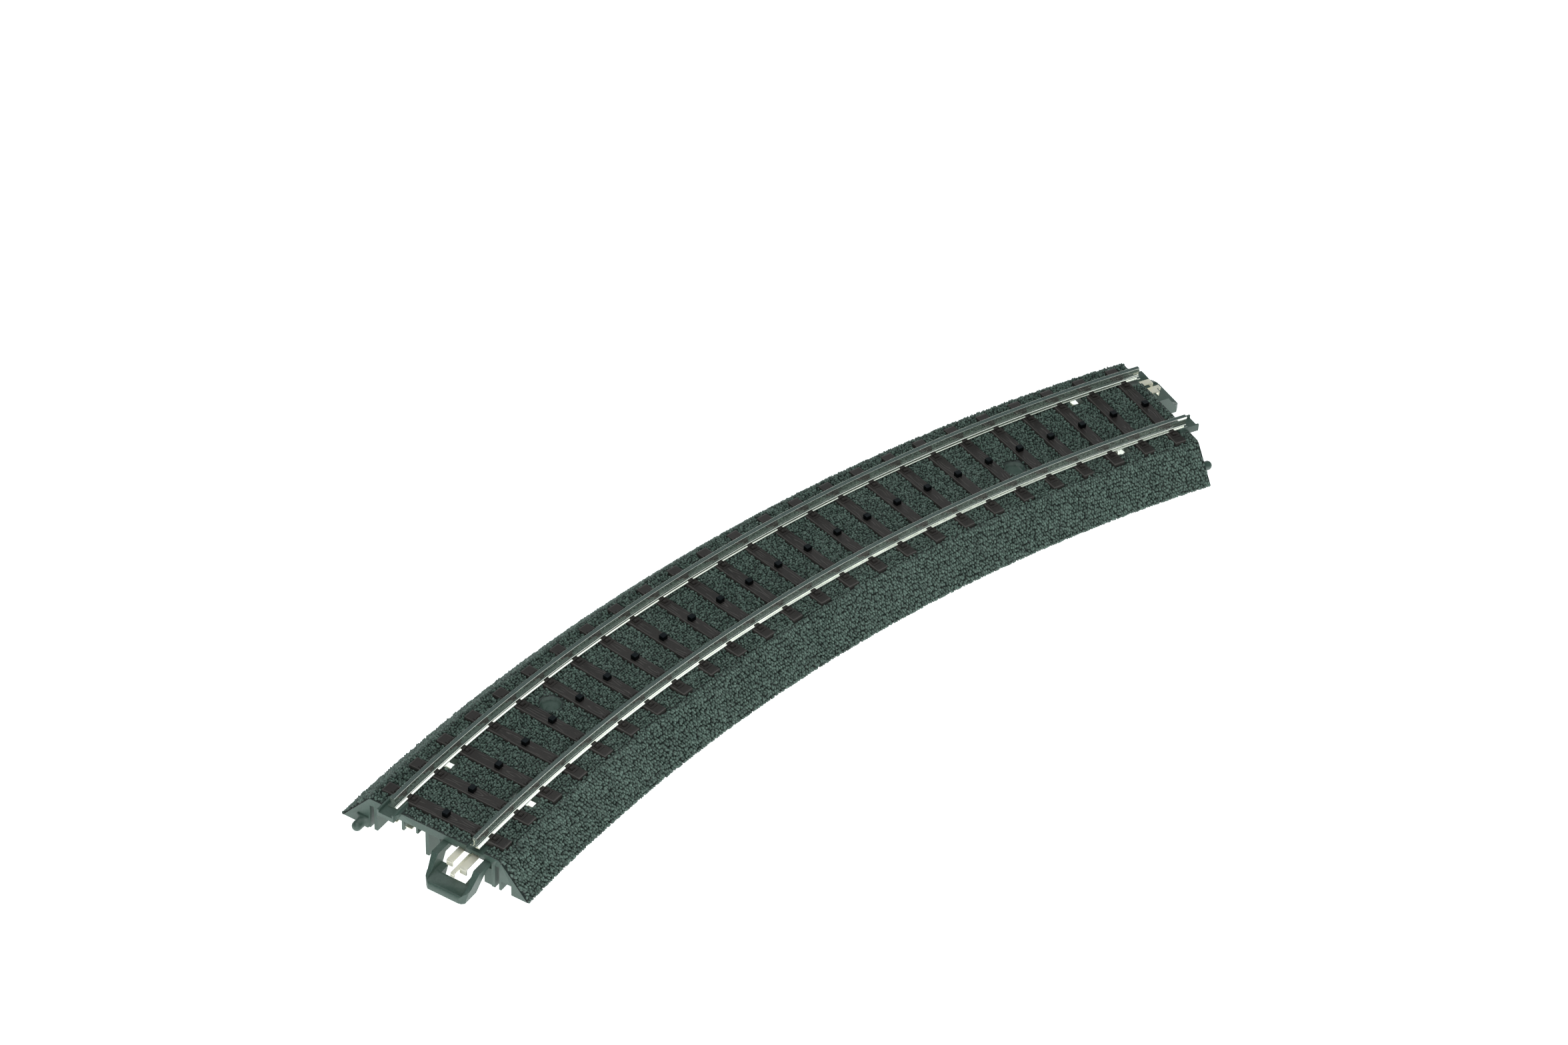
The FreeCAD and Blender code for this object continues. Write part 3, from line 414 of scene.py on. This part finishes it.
# %% Metals
def make_metal(name, light, dark, polished, dull, lines, metallic=1.0):
    """polished and dull are roughnesses, and lines is how deep the drawn scratches look."""
    material, tree = blank_material(name)
    drawn = use_group(tree, drawn_metal,
                      {"Polished": polished, "Dull": dull, "Line Depth": lines})
    base = ramp(tree, drawn["Patch"], [(0.35, light), (0.75, dark)])
    surface = node(tree, "ShaderNodeBsdfPrincipled", {
        "Base Color": base, "Metallic": metallic, "Roughness": drawn["Roughness"],
        "Normal": drawn["Normal"]})
    node(tree, "ShaderNodeOutputMaterial", {"Surface": surface.outputs["BSDF"]})
    return material


smooth_plastic = make_smooth_plastic()
stone_plastic = make_stone_plastic()
sleeper_plastic = make_sleeper_plastic()
rail_nickel = make_metal("rail_nickel", (0.97, 1.0, 0.92), (0.85, 0.89, 0.81), 0.07, 0.15, 0.03,
                         metallic=0.93)
contact_nickel = make_metal("contact_nickel", (1.0, 0.98, 0.84), (0.93, 0.89, 0.7),
                            0.34, 0.5, 0.05, metallic=0.5)
black_metal = make_metal("blackened_metal", (0.03, 0.036, 0.04), (0.016, 0.02, 0.024),
                         0.28, 0.5, 0.3)


# %% [markdown]
# ## Finishing a piece
#
# Each new piece is built in a bmesh, in millimetres. When it is done, the mesh is scaled to metres,
# rides on its engineering body, and remembers where each of its points lies along the track, so
# that drawn lines and wood grain can follow the curve.

# %% Finish helpers
def finish_piece(name, bm, body, material, replaced=(), marks=None):
    """Turns a finished bmesh into a piece. marks is {attribute: one number a vertex}."""
    mesh = bpy.data.meshes.new(name)
    bm.to_mesh(mesh)
    bm.free()
    places = np.array([track_place(v.co) for v in mesh.vertices], np.float32)
    layer = mesh.attributes.new("track_place", "FLOAT_VECTOR", "POINT")
    layer.data.foreach_set("vector", places.ravel())
    for mark, numbers in (marks or {}).items():
        layer = mesh.attributes.new(mark, "FLOAT", "POINT")
        layer.data.foreach_set("value", np.asarray(numbers, np.float32))
    mesh.transform(Matrix.Scale(MM, 4))
    mesh.materials.append(material)
    piece = bpy.data.objects.new(name, mesh)
    bpy.context.collection.objects.link(piece)
    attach(piece, body)
    if replaced:
        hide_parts(*replaced)
    print(f"{name}: {len(mesh.vertices)} points, {len(mesh.loop_triangles)} triangles")
    return piece


def smooth_shading(piece, sharp=math.radians(40)):
    """Smooth faces that stay flat between their rounded edges."""
    piece.data.shade_smooth()
    piece.data.set_sharp_from_angle(angle=sharp)
    weighted = piece.modifiers.new("flat_faces", "WEIGHTED_NORMAL")
    weighted.keep_sharp = True


def block(bm, low, high, rounding=0, segments=1):
    """A box between two corners, with rounded edges. Returns its points."""
    made = bmesh.ops.create_cube(bm, size=1)["verts"]
    low, high = Vector(low), Vector(high)
    bmesh.ops.scale(bm, vec=high - low, verts=made)
    bmesh.ops.translate(bm, vec=(high + low) / 2, verts=made)
    if rounding:
        edges = list({e for v in made for e in v.link_edges})
        bmesh.ops.bevel(bm, geom=edges, offset=rounding, segments=segments, profile=0.5,
                        affect="EDGES", material=-1)
    return made


def stamp(bm, template, placement):
    """Adds a copy of a template mesh at a placement."""
    template.transform(placement)
    bm.from_mesh(template)
    template.transform(placement.inverted())


def as_template(name, bm):
    mesh = bpy.data.meshes.new(name)
    bm.to_mesh(mesh)
    bm.free()
    return mesh


# %% [markdown]
# ## Rails
#
# A real rail is rolled: one profile, drawn along the curve. The same is done here. A few points
# outline the profile, a bevel rounds its corners, and the spin operator sweeps it round the
# curve's centre. The rounded corners become long edges that catch a bright line each.

# %% Rail profile and sweep
RAIL_BASE = SLEEPER_TOP
RAIL_STEPS = 75
RAIL_OUTLINE = [                                     # half width, height over the sleeper
    (1.0, 0.0), (1.0, 0.2), (0.42, 0.33), (0.27, 0.46), (0.22, 0.64), (0.22, 1.3), (0.45, 1.5),
    (0.45, 2.3)]
PROFILE_ROUNDING = 0.07
LUG_GAP = 2                                          # a lug stands in this gap from the end
LUG_SHIFT = 0.22                                     # and this far past the gap's middle
LUG_SETBACK = LUG_GAP * SLEEPER_PITCH * CURVE_RADIUS + LUG_SHIFT
LUG_HALF_LENGTH = 0.6
LUG_HALF_THICKNESS = 0.2
LUG_ROUNDING = 0.06
LUG_OVERLAP = 0.1                                    # how far it reaches into the rail's foot


def rail_lug(bm, angle, offset, bottom):
    """The tongue under the rail that reaches the bus plate through the deck."""
    lug = bmesh.new()
    block(lug, (-LUG_HALF_THICKNESS, -LUG_HALF_LENGTH, bottom),
          (LUG_HALF_THICKNESS, LUG_HALF_LENGTH, RAIL_BASE + LUG_OVERLAP), LUG_ROUNDING)
    template = as_template("lug", lug)
    stamp(bm, template, on_curve(angle, offset))
    bpy.data.meshes.remove(template)


def make_rail(name, offset, cad_node):
    bm = bmesh.new()
    outline = RAIL_OUTLINE + [(-x, z) for x, z in reversed(RAIL_OUTLINE)]
    start = on_curve(-HALF_ARC, offset, RAIL_BASE)
    profile = bm.faces.new([bm.verts.new(start @ Vector((x, 0, z))) for x, z in outline])
    bmesh.ops.bevel(bm, geom=profile.verts[:], offset=PROFILE_ROUNDING, segments=3, profile=0.5,
                    affect="VERTICES", material=-1)
    everything = bm.verts[:] + bm.edges[:] + bm.faces[:]
    bmesh.ops.spin(bm, geom=everything, cent=(0, -CURVE_RADIUS, 0), axis=(0, 0, -1),
                   angle=2 * HALF_ARC, steps=RAIL_STEPS)
    bmesh.ops.recalc_face_normals(bm, faces=bm.faces)
    bottom = node_box(cad_node)[0].z
    for side in (-1, 1):
        rail_lug(bm, side * (HALF_ARC - LUG_SETBACK / CURVE_RADIUS), offset, bottom)
    piece = finish_piece(name, bm, "track_bed", rail_nickel, [cad_node])
    smooth_shading(piece)


make_rail("outer_rail_rolled", RAIL_OFFSET, "outer_rail")
make_rail("inner_rail_rolled", -RAIL_OFFSET, "inner_rail")


# %% [markdown]
# ## Sleepers
#
# Each sleeper is one plastic bar moulded like sawn wood, with grain lines that part round a knot.
# A texture could paint them, but raised lines catch the light, so they are lifted out of a fine
# grid instead. A pale colour helps them, partly wear and partly a painted highlight on the ridges
# and edges, and the sides are painted a little paler as painted light. The height comes from a
# formula: lines of equal distance that bulge round one point. Every sleeper gets its own knot and
# its own waviness.

# %% Wood grain
GRAIN_SPACING = 0.5
GRAIN_RISE = 0.04
GRAIN_LINE = 0.13                                    # half a line's width, in spacings
GRAIN_END = 6.2                                      # the grain stops short of the rail chairs
GRAIN_FADE = 0.6                                     # and fades out over this length
GRAIN_MARGIN = 0.2                                   # kept free along the sleeper's edges
KNOT_REACH = 2.2                                     # how far from a knot the lines bulge
KNOT_BULGE = 0.5
GRID_STEPS = (96, 28)                                # along the sleeper, and across it
EDGE_ROUNDING = 0.12
EDGE_DROP = 0.06
SKIRT_DEPTH = 0.5                                    # how deep the sides reach into the deck
# How pale the sides (painted light), the grain ridges and the edges (partly wear, partly painted
# highlight) are painted.
SIDE_PAINTED_LIGHT = 0.3
RIDGE_WEAR_AND_HIGHLIGHT = 0.75
EDGE_WEAR_AND_HIGHLIGHT = 0.6


def limited(value):
    return min(1, max(0, value))


def grain_ridge(across, along, knot, seed):
    """How far a grain line stands up at a point of the sleeper's top, from 0 to 1."""
    spread = math.exp(-((across - knot.x) / KNOT_REACH) ** 2)
    bulge = math.hypot(along - knot.y, 0.1) - KNOT_BULGE * spread
    waves = 0.3 * noise.noise(Vector((across * 0.3, along * 0.35, seed)))
    waves += 0.05 * noise.noise(Vector((across * 0.9, along * 0.9, seed + 9)))
    phase = ((bulge + waves) / GRAIN_SPACING) % 1
    line = max(0, 1 - abs(phase - 0.5) / GRAIN_LINE)
    broken = limited(0.35 + 4 * noise.noise(Vector((across * 0.35, along * 1.6, seed + 4))))
    fade = limited((GRAIN_END - abs(across)) / GRAIN_FADE)
    margin = limited((SLEEPER_HALF_WIDTH - GRAIN_MARGIN - abs(along)) / 0.1)
    return line * broken * fade * margin


def sleeper_bar(template_rng):
    """One bar at the origin: X across the track, Y along it. Returns its mesh and how pale each
    point is painted: partly wear, partly painted highlight and painted light.
    """
    bm = bmesh.new()
    bmesh.ops.create_grid(bm, x_segments=GRID_STEPS[0], y_segments=GRID_STEPS[1], size=1)
    bmesh.ops.scale(bm, vec=(SLEEPER_HALF_LENGTH, SLEEPER_HALF_WIDTH, 1), verts=bm.verts)
    bmesh.ops.translate(bm, vec=(0, 0, SLEEPER_TOP), verts=bm.verts)
    knot = Vector((template_rng.uniform(-4.5, 4.5), template_rng.uniform(-0.3, 0.3)))
    seed = template_rng.uniform(0, 90)
    top = list(bm.verts)
    rim = [e for e in bm.edges if e.is_boundary]
    skirt = bmesh.ops.extrude_edge_only(bm, edges=rim)["geom"]
    lower = [v for v in skirt if isinstance(v, bmesh.types.BMVert)]
    bmesh.ops.translate(bm, vec=(0, 0, -(SLEEPER_TOP - DECK_TOP + SKIRT_DEPTH)), verts=lower)
    bmesh.ops.holes_fill(bm, edges=[e for e in bm.edges if e.is_boundary])
    bm.verts.index_update()
    # The sides and underside start a little paler: painted light.
    wear_and_painted_light = {v.index: SIDE_PAINTED_LIGHT for v in bm.verts}
    for v in top:
        ridge = grain_ridge(v.co.x, v.co.y, knot, seed)
        inset = min(SLEEPER_HALF_LENGTH - abs(v.co.x), SLEEPER_HALF_WIDTH - abs(v.co.y))
        edge = max(0, 1 - inset / EDGE_ROUNDING)
        v.co.z += GRAIN_RISE * ridge - EDGE_DROP * edge ** 2
        # Ridges and rounded edges are paler, partly wear and partly a painted highlight.
        wear_and_painted_light[v.index] = max(RIDGE_WEAR_AND_HIGHLIGHT * ridge, EDGE_WEAR_AND_HIGHLIGHT * edge)
    bmesh.ops.recalc_face_normals(bm, faces=bm.faces)
    return as_template("bar", bm), list(wear_and_painted_light.values())


def make_sleepers():
    rng = random.Random(11)
    bm = bmesh.new()
    marks = []
    for angle in SLEEPER_ANGLES:
        bar, wear_and_painted_light = sleeper_bar(rng)
        stamp(bm, bar, on_curve(angle))
        marks += wear_and_painted_light
        bpy.data.meshes.remove(bar)
    piece = finish_piece("sleepers_grained", bm, "track_bed", sleeper_plastic,
                         ["sleepers"], {"ridge": marks})
    smooth_shading(piece, math.radians(50))


make_sleepers()


# %% [markdown]
# ## Rail chairs
#
# On each side of each rail a sleeper carries a plate, a clip that holds the rail's foot, and a
# small raised frame, all moulded with it. One half chair is modelled once, and turned half a
# circle for the other side. It is used a hundred times, so it stays under a hundred faces.

# %% Half chair
PLATE_START = RAIL_FOOT + 0.03
PLATE_END = 2.7
PLATE_HALF_LENGTH = 0.8
PLATE_SUNK = 0.05
PLATE_TOP = 0.1
CLIP_START = 0.56                                    # over the rail's foot
CLIP_POST_START = RAIL_FOOT + 0.02
CLIP_END = RAIL_FOOT + 0.3
CLIP_HALF_LENGTH = 0.55
CLIP_UNDERSIDE = 0.2
CLIP_TOP = 0.42
CLIP_POST_TOP = 0.3
FRAME_START = RAIL_FOOT + 0.12
FRAME_SIZE = 1.05
FRAME_BASE = 0.05
FRAME_RISE = 0.24
FRAME_STEPS = ((0.17, -0.13), (0.14, 0.0), (0.04, 0.08))     # inset, then step up


def raised_frame(bm):
    """A square rim with a small boss in its middle, made by insetting one face."""
    corners = bmesh.ops.create_grid(bm, x_segments=1, y_segments=1, size=FRAME_SIZE / 2)["verts"]
    bmesh.ops.translate(bm, vec=(FRAME_START + FRAME_SIZE / 2, 0, FRAME_BASE), verts=corners)
    base = corners[0].link_faces[0]
    raised = bmesh.ops.extrude_face_region(bm, geom=[base])["geom"]
    lifted = [g for g in raised if isinstance(g, bmesh.types.BMVert)]
    lid = next(g for g in raised if isinstance(g, bmesh.types.BMFace))
    bmesh.ops.translate(bm, vec=(0, 0, FRAME_RISE), verts=lifted)
    for inset, step in FRAME_STEPS:
        bmesh.ops.inset_region(bm, faces=[lid], thickness=inset)
        bmesh.ops.translate(bm, vec=(0, 0, step), verts=lid.verts)


def half_chair():
    bm = bmesh.new()
    block(bm, (PLATE_START, -PLATE_HALF_LENGTH, -PLATE_SUNK),
          (PLATE_END, PLATE_HALF_LENGTH, PLATE_TOP), 0.03)
    block(bm, (CLIP_START, -CLIP_HALF_LENGTH, CLIP_UNDERSIDE),
          (CLIP_END, CLIP_HALF_LENGTH, CLIP_TOP), 0.06)
    block(bm, (CLIP_POST_START, -CLIP_HALF_LENGTH, 0),
          (CLIP_END, CLIP_HALF_LENGTH, CLIP_POST_TOP), 0.05)
    raised_frame(bm)
    return as_template("half_chair", bm)


def make_chairs():
    bm = bmesh.new()
    template = half_chair()
    for angle in SLEEPER_ANGLES:
        for rail in (-RAIL_OFFSET, RAIL_OFFSET):
            for turn in (0, math.pi):
                place = on_curve(angle, rail, SLEEPER_TOP) @ Matrix.Rotation(turn, 4, "Z")
                stamp(bm, template, place)
    piece = finish_piece("rail_chairs", bm, "track_bed", sleeper_plastic,
                         ["sleepers"])
    smooth_shading(piece)
    print("faces in a half chair:", len(template.polygons))


make_chairs()


# %% [markdown]
# ## Ballast
#
# The bed is moulded as thousands of rounded stones, small on the deck and coarser on the slopes,
# where they lie like scales. They could be a displaced surface, but separate low stones leave a
# real gap between them, and a painted shade on the bed keeps that gap dark. Each stone is also
# painted darker towards its foot, as painted shade. Seven template stones are made by
# roughening a small sphere and cutting off its lower half, and rows of them are stamped over the
# deck and the slopes, turned and scaled at random with a fixed seed. Places where the moulding is
# smooth are left out.

# %% Template stones
STONE_KINDS = 7
STONE_SIDES = 7
STONE_RINGS = 6
STONE_ROUGHNESS = 0.6
LUMP_FREQUENCY = 1.3
SEED_STEP = 7.3                                      # how far apart the kinds lie in the noise


def template_stone(seed):
    bm = bmesh.new()
    bmesh.ops.create_uvsphere(bm, u_segments=STONE_SIDES, v_segments=STONE_RINGS, radius=1)
    offset = Vector((seed * SEED_STEP, 0, 0))
    for v in bm.verts:
        v.co *= 1 + STONE_ROUGHNESS * noise.noise(v.co * LUMP_FREQUENCY + offset)
    everything = bm.verts[:] + bm.edges[:] + bm.faces[:]
    bmesh.ops.bisect_plane(bm, geom=everything, plane_co=(0, 0, 0), plane_no=(0, 0, -1),
                           clear_outer=True)
    bmesh.ops.holes_fill(bm, edges=[e for e in bm.edges if e.is_boundary])
    return as_template("stone", bm)


stones = [template_stone(kind) for kind in range(STONE_KINDS)]
print("faces in a stone:", [len(s.polygons) for s in stones])


# %% Where stones may lie
SCREW_ANGLE = math.radians(9)
SCREW_OFFSET = 3.6
SCREW_RECESS = 1.95
WINDOW_HALF_LENGTH = 1.4
WINDOW_HALF_WIDTH = 2.2
REST_REACH = 2.25
REST_HALF_WIDTH = 1.8
# How much of its size a stone keeps off each edge
END_SHARE = 0.75
SLEEPER_SHARE = 0.75
WINDOW_SHARE = 0.8
REST_SHARE = 0.7


def in_end_frame(angle, across):
    """Distance out of the nearer end plane, and across towards that end's coupling loop."""
    side = 1 if angle > 0 else -1
    left = HALF_ARC - abs(angle)
    radius = CURVE_RADIUS + across
    return -radius * math.sin(left), side * (radius * math.cos(left) - CURVE_RADIUS)


def free_of_details(angle, across, size):
    """True where a stone of this size is clear of sleepers, recess, windows and rail rests."""
    out, towards_loop = in_end_frame(angle, across)
    if out > -END_SHARE * size:
        return False
    if abs(across) < SLEEPER_HALF_LENGTH + SLEEPER_SHARE * size:
        nearest = min(abs(angle - centre) for centre in SLEEPER_ANGLES)
        if nearest * (CURVE_RADIUS + across) < SLEEPER_HALF_WIDTH + SLEEPER_SHARE * size:
            return False
    side = 1 if angle > 0 else -1
    screw_along = (abs(angle) - SCREW_ANGLE) * (CURVE_RADIUS + across)
    if math.hypot(screw_along, across + side * SCREW_OFFSET) < SCREW_RECESS + size:
        return False
    off_rail = abs(abs(towards_loop) - RAIL_OFFSET)
    if off_rail < WINDOW_HALF_WIDTH + size * WINDOW_SHARE:
        if abs(out + LUG_SETBACK) < WINDOW_HALF_LENGTH + size * WINDOW_SHARE:
            return False
    return not (off_rail < REST_HALF_WIDTH + size * REST_SHARE
                and out > -REST_REACH - size * REST_SHARE)


# %% Laying the stones
def lay_stone(sectors, rng, angle, across, height, lean, swing, size):
    """Stamps one stone on a surface that leans out, in the bmesh of its sector.

    A sector is (bmesh, a shade for each point, the point's height in its own stone)."""
    number = min(int((angle + HALF_ARC) / (2 * HALF_ARC) * len(sectors)), len(sectors) - 1)
    bm, shades, rises = sectors[number]
    template = rng.choice(stones)
    place = (on_curve(angle, across, height) @ Matrix.Rotation(lean, 4, "Y")
             @ Matrix.Rotation(rng.uniform(-swing, swing), 4, "Z") @ Matrix.Diagonal((*size, 1))
             @ Matrix.Rotation(rng.uniform(0, math.tau), 4, "Z"))
    rises += [v.co.z for v in template.vertices]
    stamp(bm, template, place)
    shades += [rng.random()] * len(template.vertices)


def keep_in_bed(bm):
    """Pulls in what stands out past the bed's foot, and puts its underside on the ground."""
    for v in bm.verts:
        place = track_place(v.co)
        outside = abs(place.y) - BED_HALF_WIDTH
        if outside > 0:
            towards = Vector((v.co.x, v.co.y + CURVE_RADIUS, 0)).normalized()
            v.co -= towards * math.copysign(outside, place.y)
        v.co.z = max(v.co.z, 0)


def finish_stones(name, sectors, smooth):
    """Smooth stones look worn round, and flat faces look freshly broken."""
    for number, (bm, shades, rises) in enumerate(sectors, start=1):
        keep_in_bed(bm)
        piece = finish_piece(f"{name}_{number}", bm, "track_bed", stone_plastic,
                             marks={"stone_shade": shades, "stone_rise": rises})
        if smooth:
            piece.data.shade_smooth()
        print(piece.name, "has", len(shades) // len(stones[0].vertices), "stones")


def new_sectors(count):
    return [(bmesh.new(), [], []) for _ in range(count)]


# %% Deck ballast
DECK_PITCH = 0.51
DECK_STONE = 0.33
DECK_RISE = 0.42
DECK_MARGIN = 0.2
DECK_JITTER = 0.16
SHOULDER_DROP = 0.18


def make_deck_ballast():
    rng = random.Random(3)
    sectors = new_sectors(4)
    rows = int(2 * (SHOULDER.x - DECK_MARGIN) / DECK_PITCH)
    for row in range(rows + 1):
        across = (row - rows / 2) * DECK_PITCH
        count = int(2 * HALF_ARC * (CURVE_RADIUS + across) / DECK_PITCH)
        step = 2 * HALF_ARC / count
        for i in range(count):
            angle = -HALF_ARC + (i + 0.5 + 0.5 * (row % 2) + rng.uniform(-0.3, 0.3)) * step
            size = DECK_STONE * rng.uniform(0.8, 1.25)
            off = across + rng.uniform(-DECK_JITTER, DECK_JITTER)
            if free_of_details(angle, off, size):
                drop = SHOULDER_DROP if abs(off) > DECK_HALF_WIDTH else 0
                lay_stone(sectors, rng, angle, off, DECK_TOP - drop, 0, math.pi,
                          (size, size * rng.uniform(0.75, 1.05),
                           DECK_RISE * rng.uniform(0.7, 1.1)))
    finish_stones("ballast_deck", sectors, smooth=False)


make_deck_ballast()


# %% Slope ballast
SLOPE_ROW = 0.6
SLOPE_PITCH = 0.56
SLOPE_STONE = 0.35
SLOPE_RISE = 0.5
SLOPE_LENGTHENING = 1.3                              # a slope stone is longer down the slope
SLOPE_NARROWING = 0.95
SLOPE_SWING = 0.5                                    # and turns by no more than this


def make_slope_ballast(name, side):
    """Scaly stones down one slope. side is 1 for the slope away from the curve's centre."""
    rng = random.Random(20 + side)
    sectors = new_sectors(2)
    slope = BED_FOOT - SHOULDER
    lean = side * math.atan2(-slope.y, slope.x)
    rows = round(slope.length / SLOPE_ROW)
    count = int(2 * HALF_ARC * (CURVE_RADIUS + side * SHOULDER.x) / SLOPE_PITCH)
    step = 2 * HALF_ARC / count
    for row in range(rows + 1):
        for i in range(count):
            angle = -HALF_ARC + (i + 0.5 + 0.5 * (row % 2) + rng.uniform(-0.24, 0.24)) * step
            size = SLOPE_STONE * rng.uniform(0.85, 1.2)
            down = min(1, max(0, (row + rng.uniform(-0.28, 0.28)) / rows))
            place = SHOULDER + down * slope
            if free_of_details(angle, side * place.x, size):
                lay_stone(sectors, rng, angle, side * place.x, place.y, lean, SLOPE_SWING,
                          (size * SLOPE_LENGTHENING, size * SLOPE_NARROWING,
                           SLOPE_RISE * rng.uniform(0.7, 1.15)))
    finish_stones(name, sectors, smooth=True)


make_slope_ballast("ballast_outer_slope", 1)
make_slope_ballast("ballast_inner_slope", -1)
for stone in stones:
    bpy.data.meshes.remove(stone)


# %% [markdown]
# ## Loops, springs and other stampings
#
# These pieces already have the right shape in the engineering model, but its edges are
# mathematically sharp, and a real moulding or stamping has a small radius that catches the light.
# A copy of each mesh is merged, its flat faces are joined up again, and every hard edge gets a
# rounded bevel. The copy then stands for the original.

# %% Softened copies
MERGE_DISTANCE = 0.002
SHEET_ROUNDING = 0.05
STUD_ROUNDING = 0.07


def hard_edges(bm, turn=30):
    return [e for e in bm.edges
            if len(e.link_faces) == 2 and e.calc_face_angle() > math.radians(turn)]


def round_edges(bm, edges, rounding, segments, clamp=True):
    bmesh.ops.bevel(bm, geom=edges, offset=rounding, segments=segments, profile=0.5,
                    affect="EDGES", clamp_overlap=clamp, material=-1)


def merged_copy(cad_node):
    """A bmesh of a node, in millimetres, with its loose triangles joined."""
    bm = bmesh.new()
    bm.from_mesh(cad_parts[cad_node].data)
    bmesh.ops.scale(bm, vec=(1 / MM,) * 3, verts=bm.verts)
    bmesh.ops.remove_doubles(bm, verts=bm.verts, dist=MERGE_DISTANCE)
    return bm


def flat_copy(cad_node):
    """The same, with the triangles of each flat face made one face again."""
    bm = merged_copy(cad_node)
    bmesh.ops.dissolve_limit(bm, angle_limit=math.radians(1), verts=bm.verts, edges=bm.edges)
    return bm


def soften(cad_node, name, body, material, rounding):
    bm = flat_copy(cad_node)
    round_edges(bm, hard_edges(bm), rounding, 2)
    piece = finish_piece(name, bm, body, material, [cad_node])
    smooth_shading(piece)


def stamped(cad_node, name, body="track_bed"):
    soften(cad_node, name, body, contact_nickel, SHEET_ROUNDING)


# %% Coupling loops
FRONT_ROUNDING = 0.9
BACK_ROUNDING = 0.35
ARM_ROUNDING = 0.14
LOOP_REACH = 7.2                                     # from the end plane to the bar's front
BAR_LENGTH = 3                                       # from the bar's front to its back
BACK_HEIGHTS = (2, 3)                                # where the bar's edges are looked for
FRONT_HEIGHTS = (1, 3)


def end_frame(side):
    """X points out of the track at that end, Y towards its loop, Z up."""
    turn = 1 if side == "right" else -1
    x = turn * CURVE_RADIUS * math.sin(HALF_ARC)
    y = CURVE_RADIUS * (math.cos(HALF_ARC) - 1)
    angle = -HALF_ARC if side == "right" else math.pi + HALF_ARC
    return Matrix.Translation((x, y, 0)) @ Matrix.Rotation(angle, 4, "Z")


def bar_edges(bm, home, out, heights):
    """The hard edges that run along the bar at one distance out and between two heights."""
    low, high = heights
    found = []
    for edge in hard_edges(bm, 10):
        a, b = (home @ v.co for v in edge.verts)
        crosswise = abs(a.y - b.y) > 0.95 * (a - b).length
        if crosswise and abs(a.x - out) < 0.2 and abs(b.x - out) < 0.2 and low < a.z < high:
            found.append(edge)
    return found


def make_loop(side):
    """The loop is thick at its front bar, so the bar's long edges get a much larger radius."""
    cad_node = f"latch_loop_{side}"
    bm = flat_copy(cad_node)
    home = end_frame(side).inverted()
    back = bar_edges(bm, home, LOOP_REACH - BAR_LENGTH, BACK_HEIGHTS)
    round_edges(bm, back, BACK_ROUNDING, 4)
    front = bar_edges(bm, home, LOOP_REACH, FRONT_HEIGHTS)
    print(cad_node, "rounds", len(back), "back and", len(front), "front edges of the bar")
    round_edges(bm, front, FRONT_ROUNDING, 7, clamp=False)
    round_edges(bm, hard_edges(bm, 35), ARM_ROUNDING, 3)
    piece = finish_piece(f"latch_loop_moulded_{side}", bm, f"latch_loop_{side}_body",
                         smooth_plastic, [cad_node])
    smooth_shading(piece)


for side in ("left", "right"):
    make_loop(side)
    for kind in ("rail", "centre", "return"):
        stamped(f"{kind}_contact_spring_{side}", f"{kind}_contact_spring_stamped_{side}",
                f"{kind}_contact_spring_{side}_body")
    for kind in ("rail_bus", "rail_contact_blade", "centre_contact_blade", "rail_feeder_tab",
                 "centre_feeder_tab"):
        stamped(f"{kind}_{side}", f"{kind}_stamped_{side}")
soften("centre_conductor", "centre_conductor_studs", "track_bed", black_metal,
       STUD_ROUNDING)


# %% [markdown]
# ## The smooth moulding
#
# The bed's deck, walls, rail rests and pegs are right as the engineering model has them, so its
# own mesh is copied. On the real bed the lowest stones stand out past the foot of the slope, so
# only the copy's foot is drawn in, which leaves them room inside the same outline.

# %% Bed
FOOT_BAND = 0.1                                      # how near the outline a foot point lies


def painted_gap_shade(face):
    """1 on the faces of the deck and the slopes, where a painted shade darkens the gaps between
    stones.
    """
    place = track_place(face.calc_center_median())
    in_length = abs(place.x) < HALF_ARC * CURVE_RADIUS
    on_deck = abs(place.z - DECK_TOP) < 0.02 and face.normal.z > 0.99
    on_slope = abs(place.y) > DECK_HALF_WIDTH and 0.4 < face.normal.z < 0.95
    return float(in_length and (on_deck or on_slope))


def make_bed():
    bm = merged_copy("roadbed")
    foot = [v for v in bm.verts if abs(track_place(v.co).y) > BED_HALF_WIDTH - FOOT_BAND]
    for v in foot:
        inward = Vector((v.co.x, v.co.y + CURVE_RADIUS, 0)).normalized()
        v.co -= inward * math.copysign(FOOT_INSET, track_place(v.co).y)
    bm.normal_update()
    covered = [painted_gap_shade(face) for face in bm.faces]
    piece = finish_piece("roadbed_moulded", bm, "track_bed", smooth_plastic,
                         ["roadbed"])
    # The mask for the painted shade between the stones.
    layer = piece.data.attributes.new("painted_gap_shade", "FLOAT", "FACE")
    layer.data.foreach_set("value", np.asarray(covered, np.float32))
    smooth_shading(piece, math.radians(25))


make_bed()
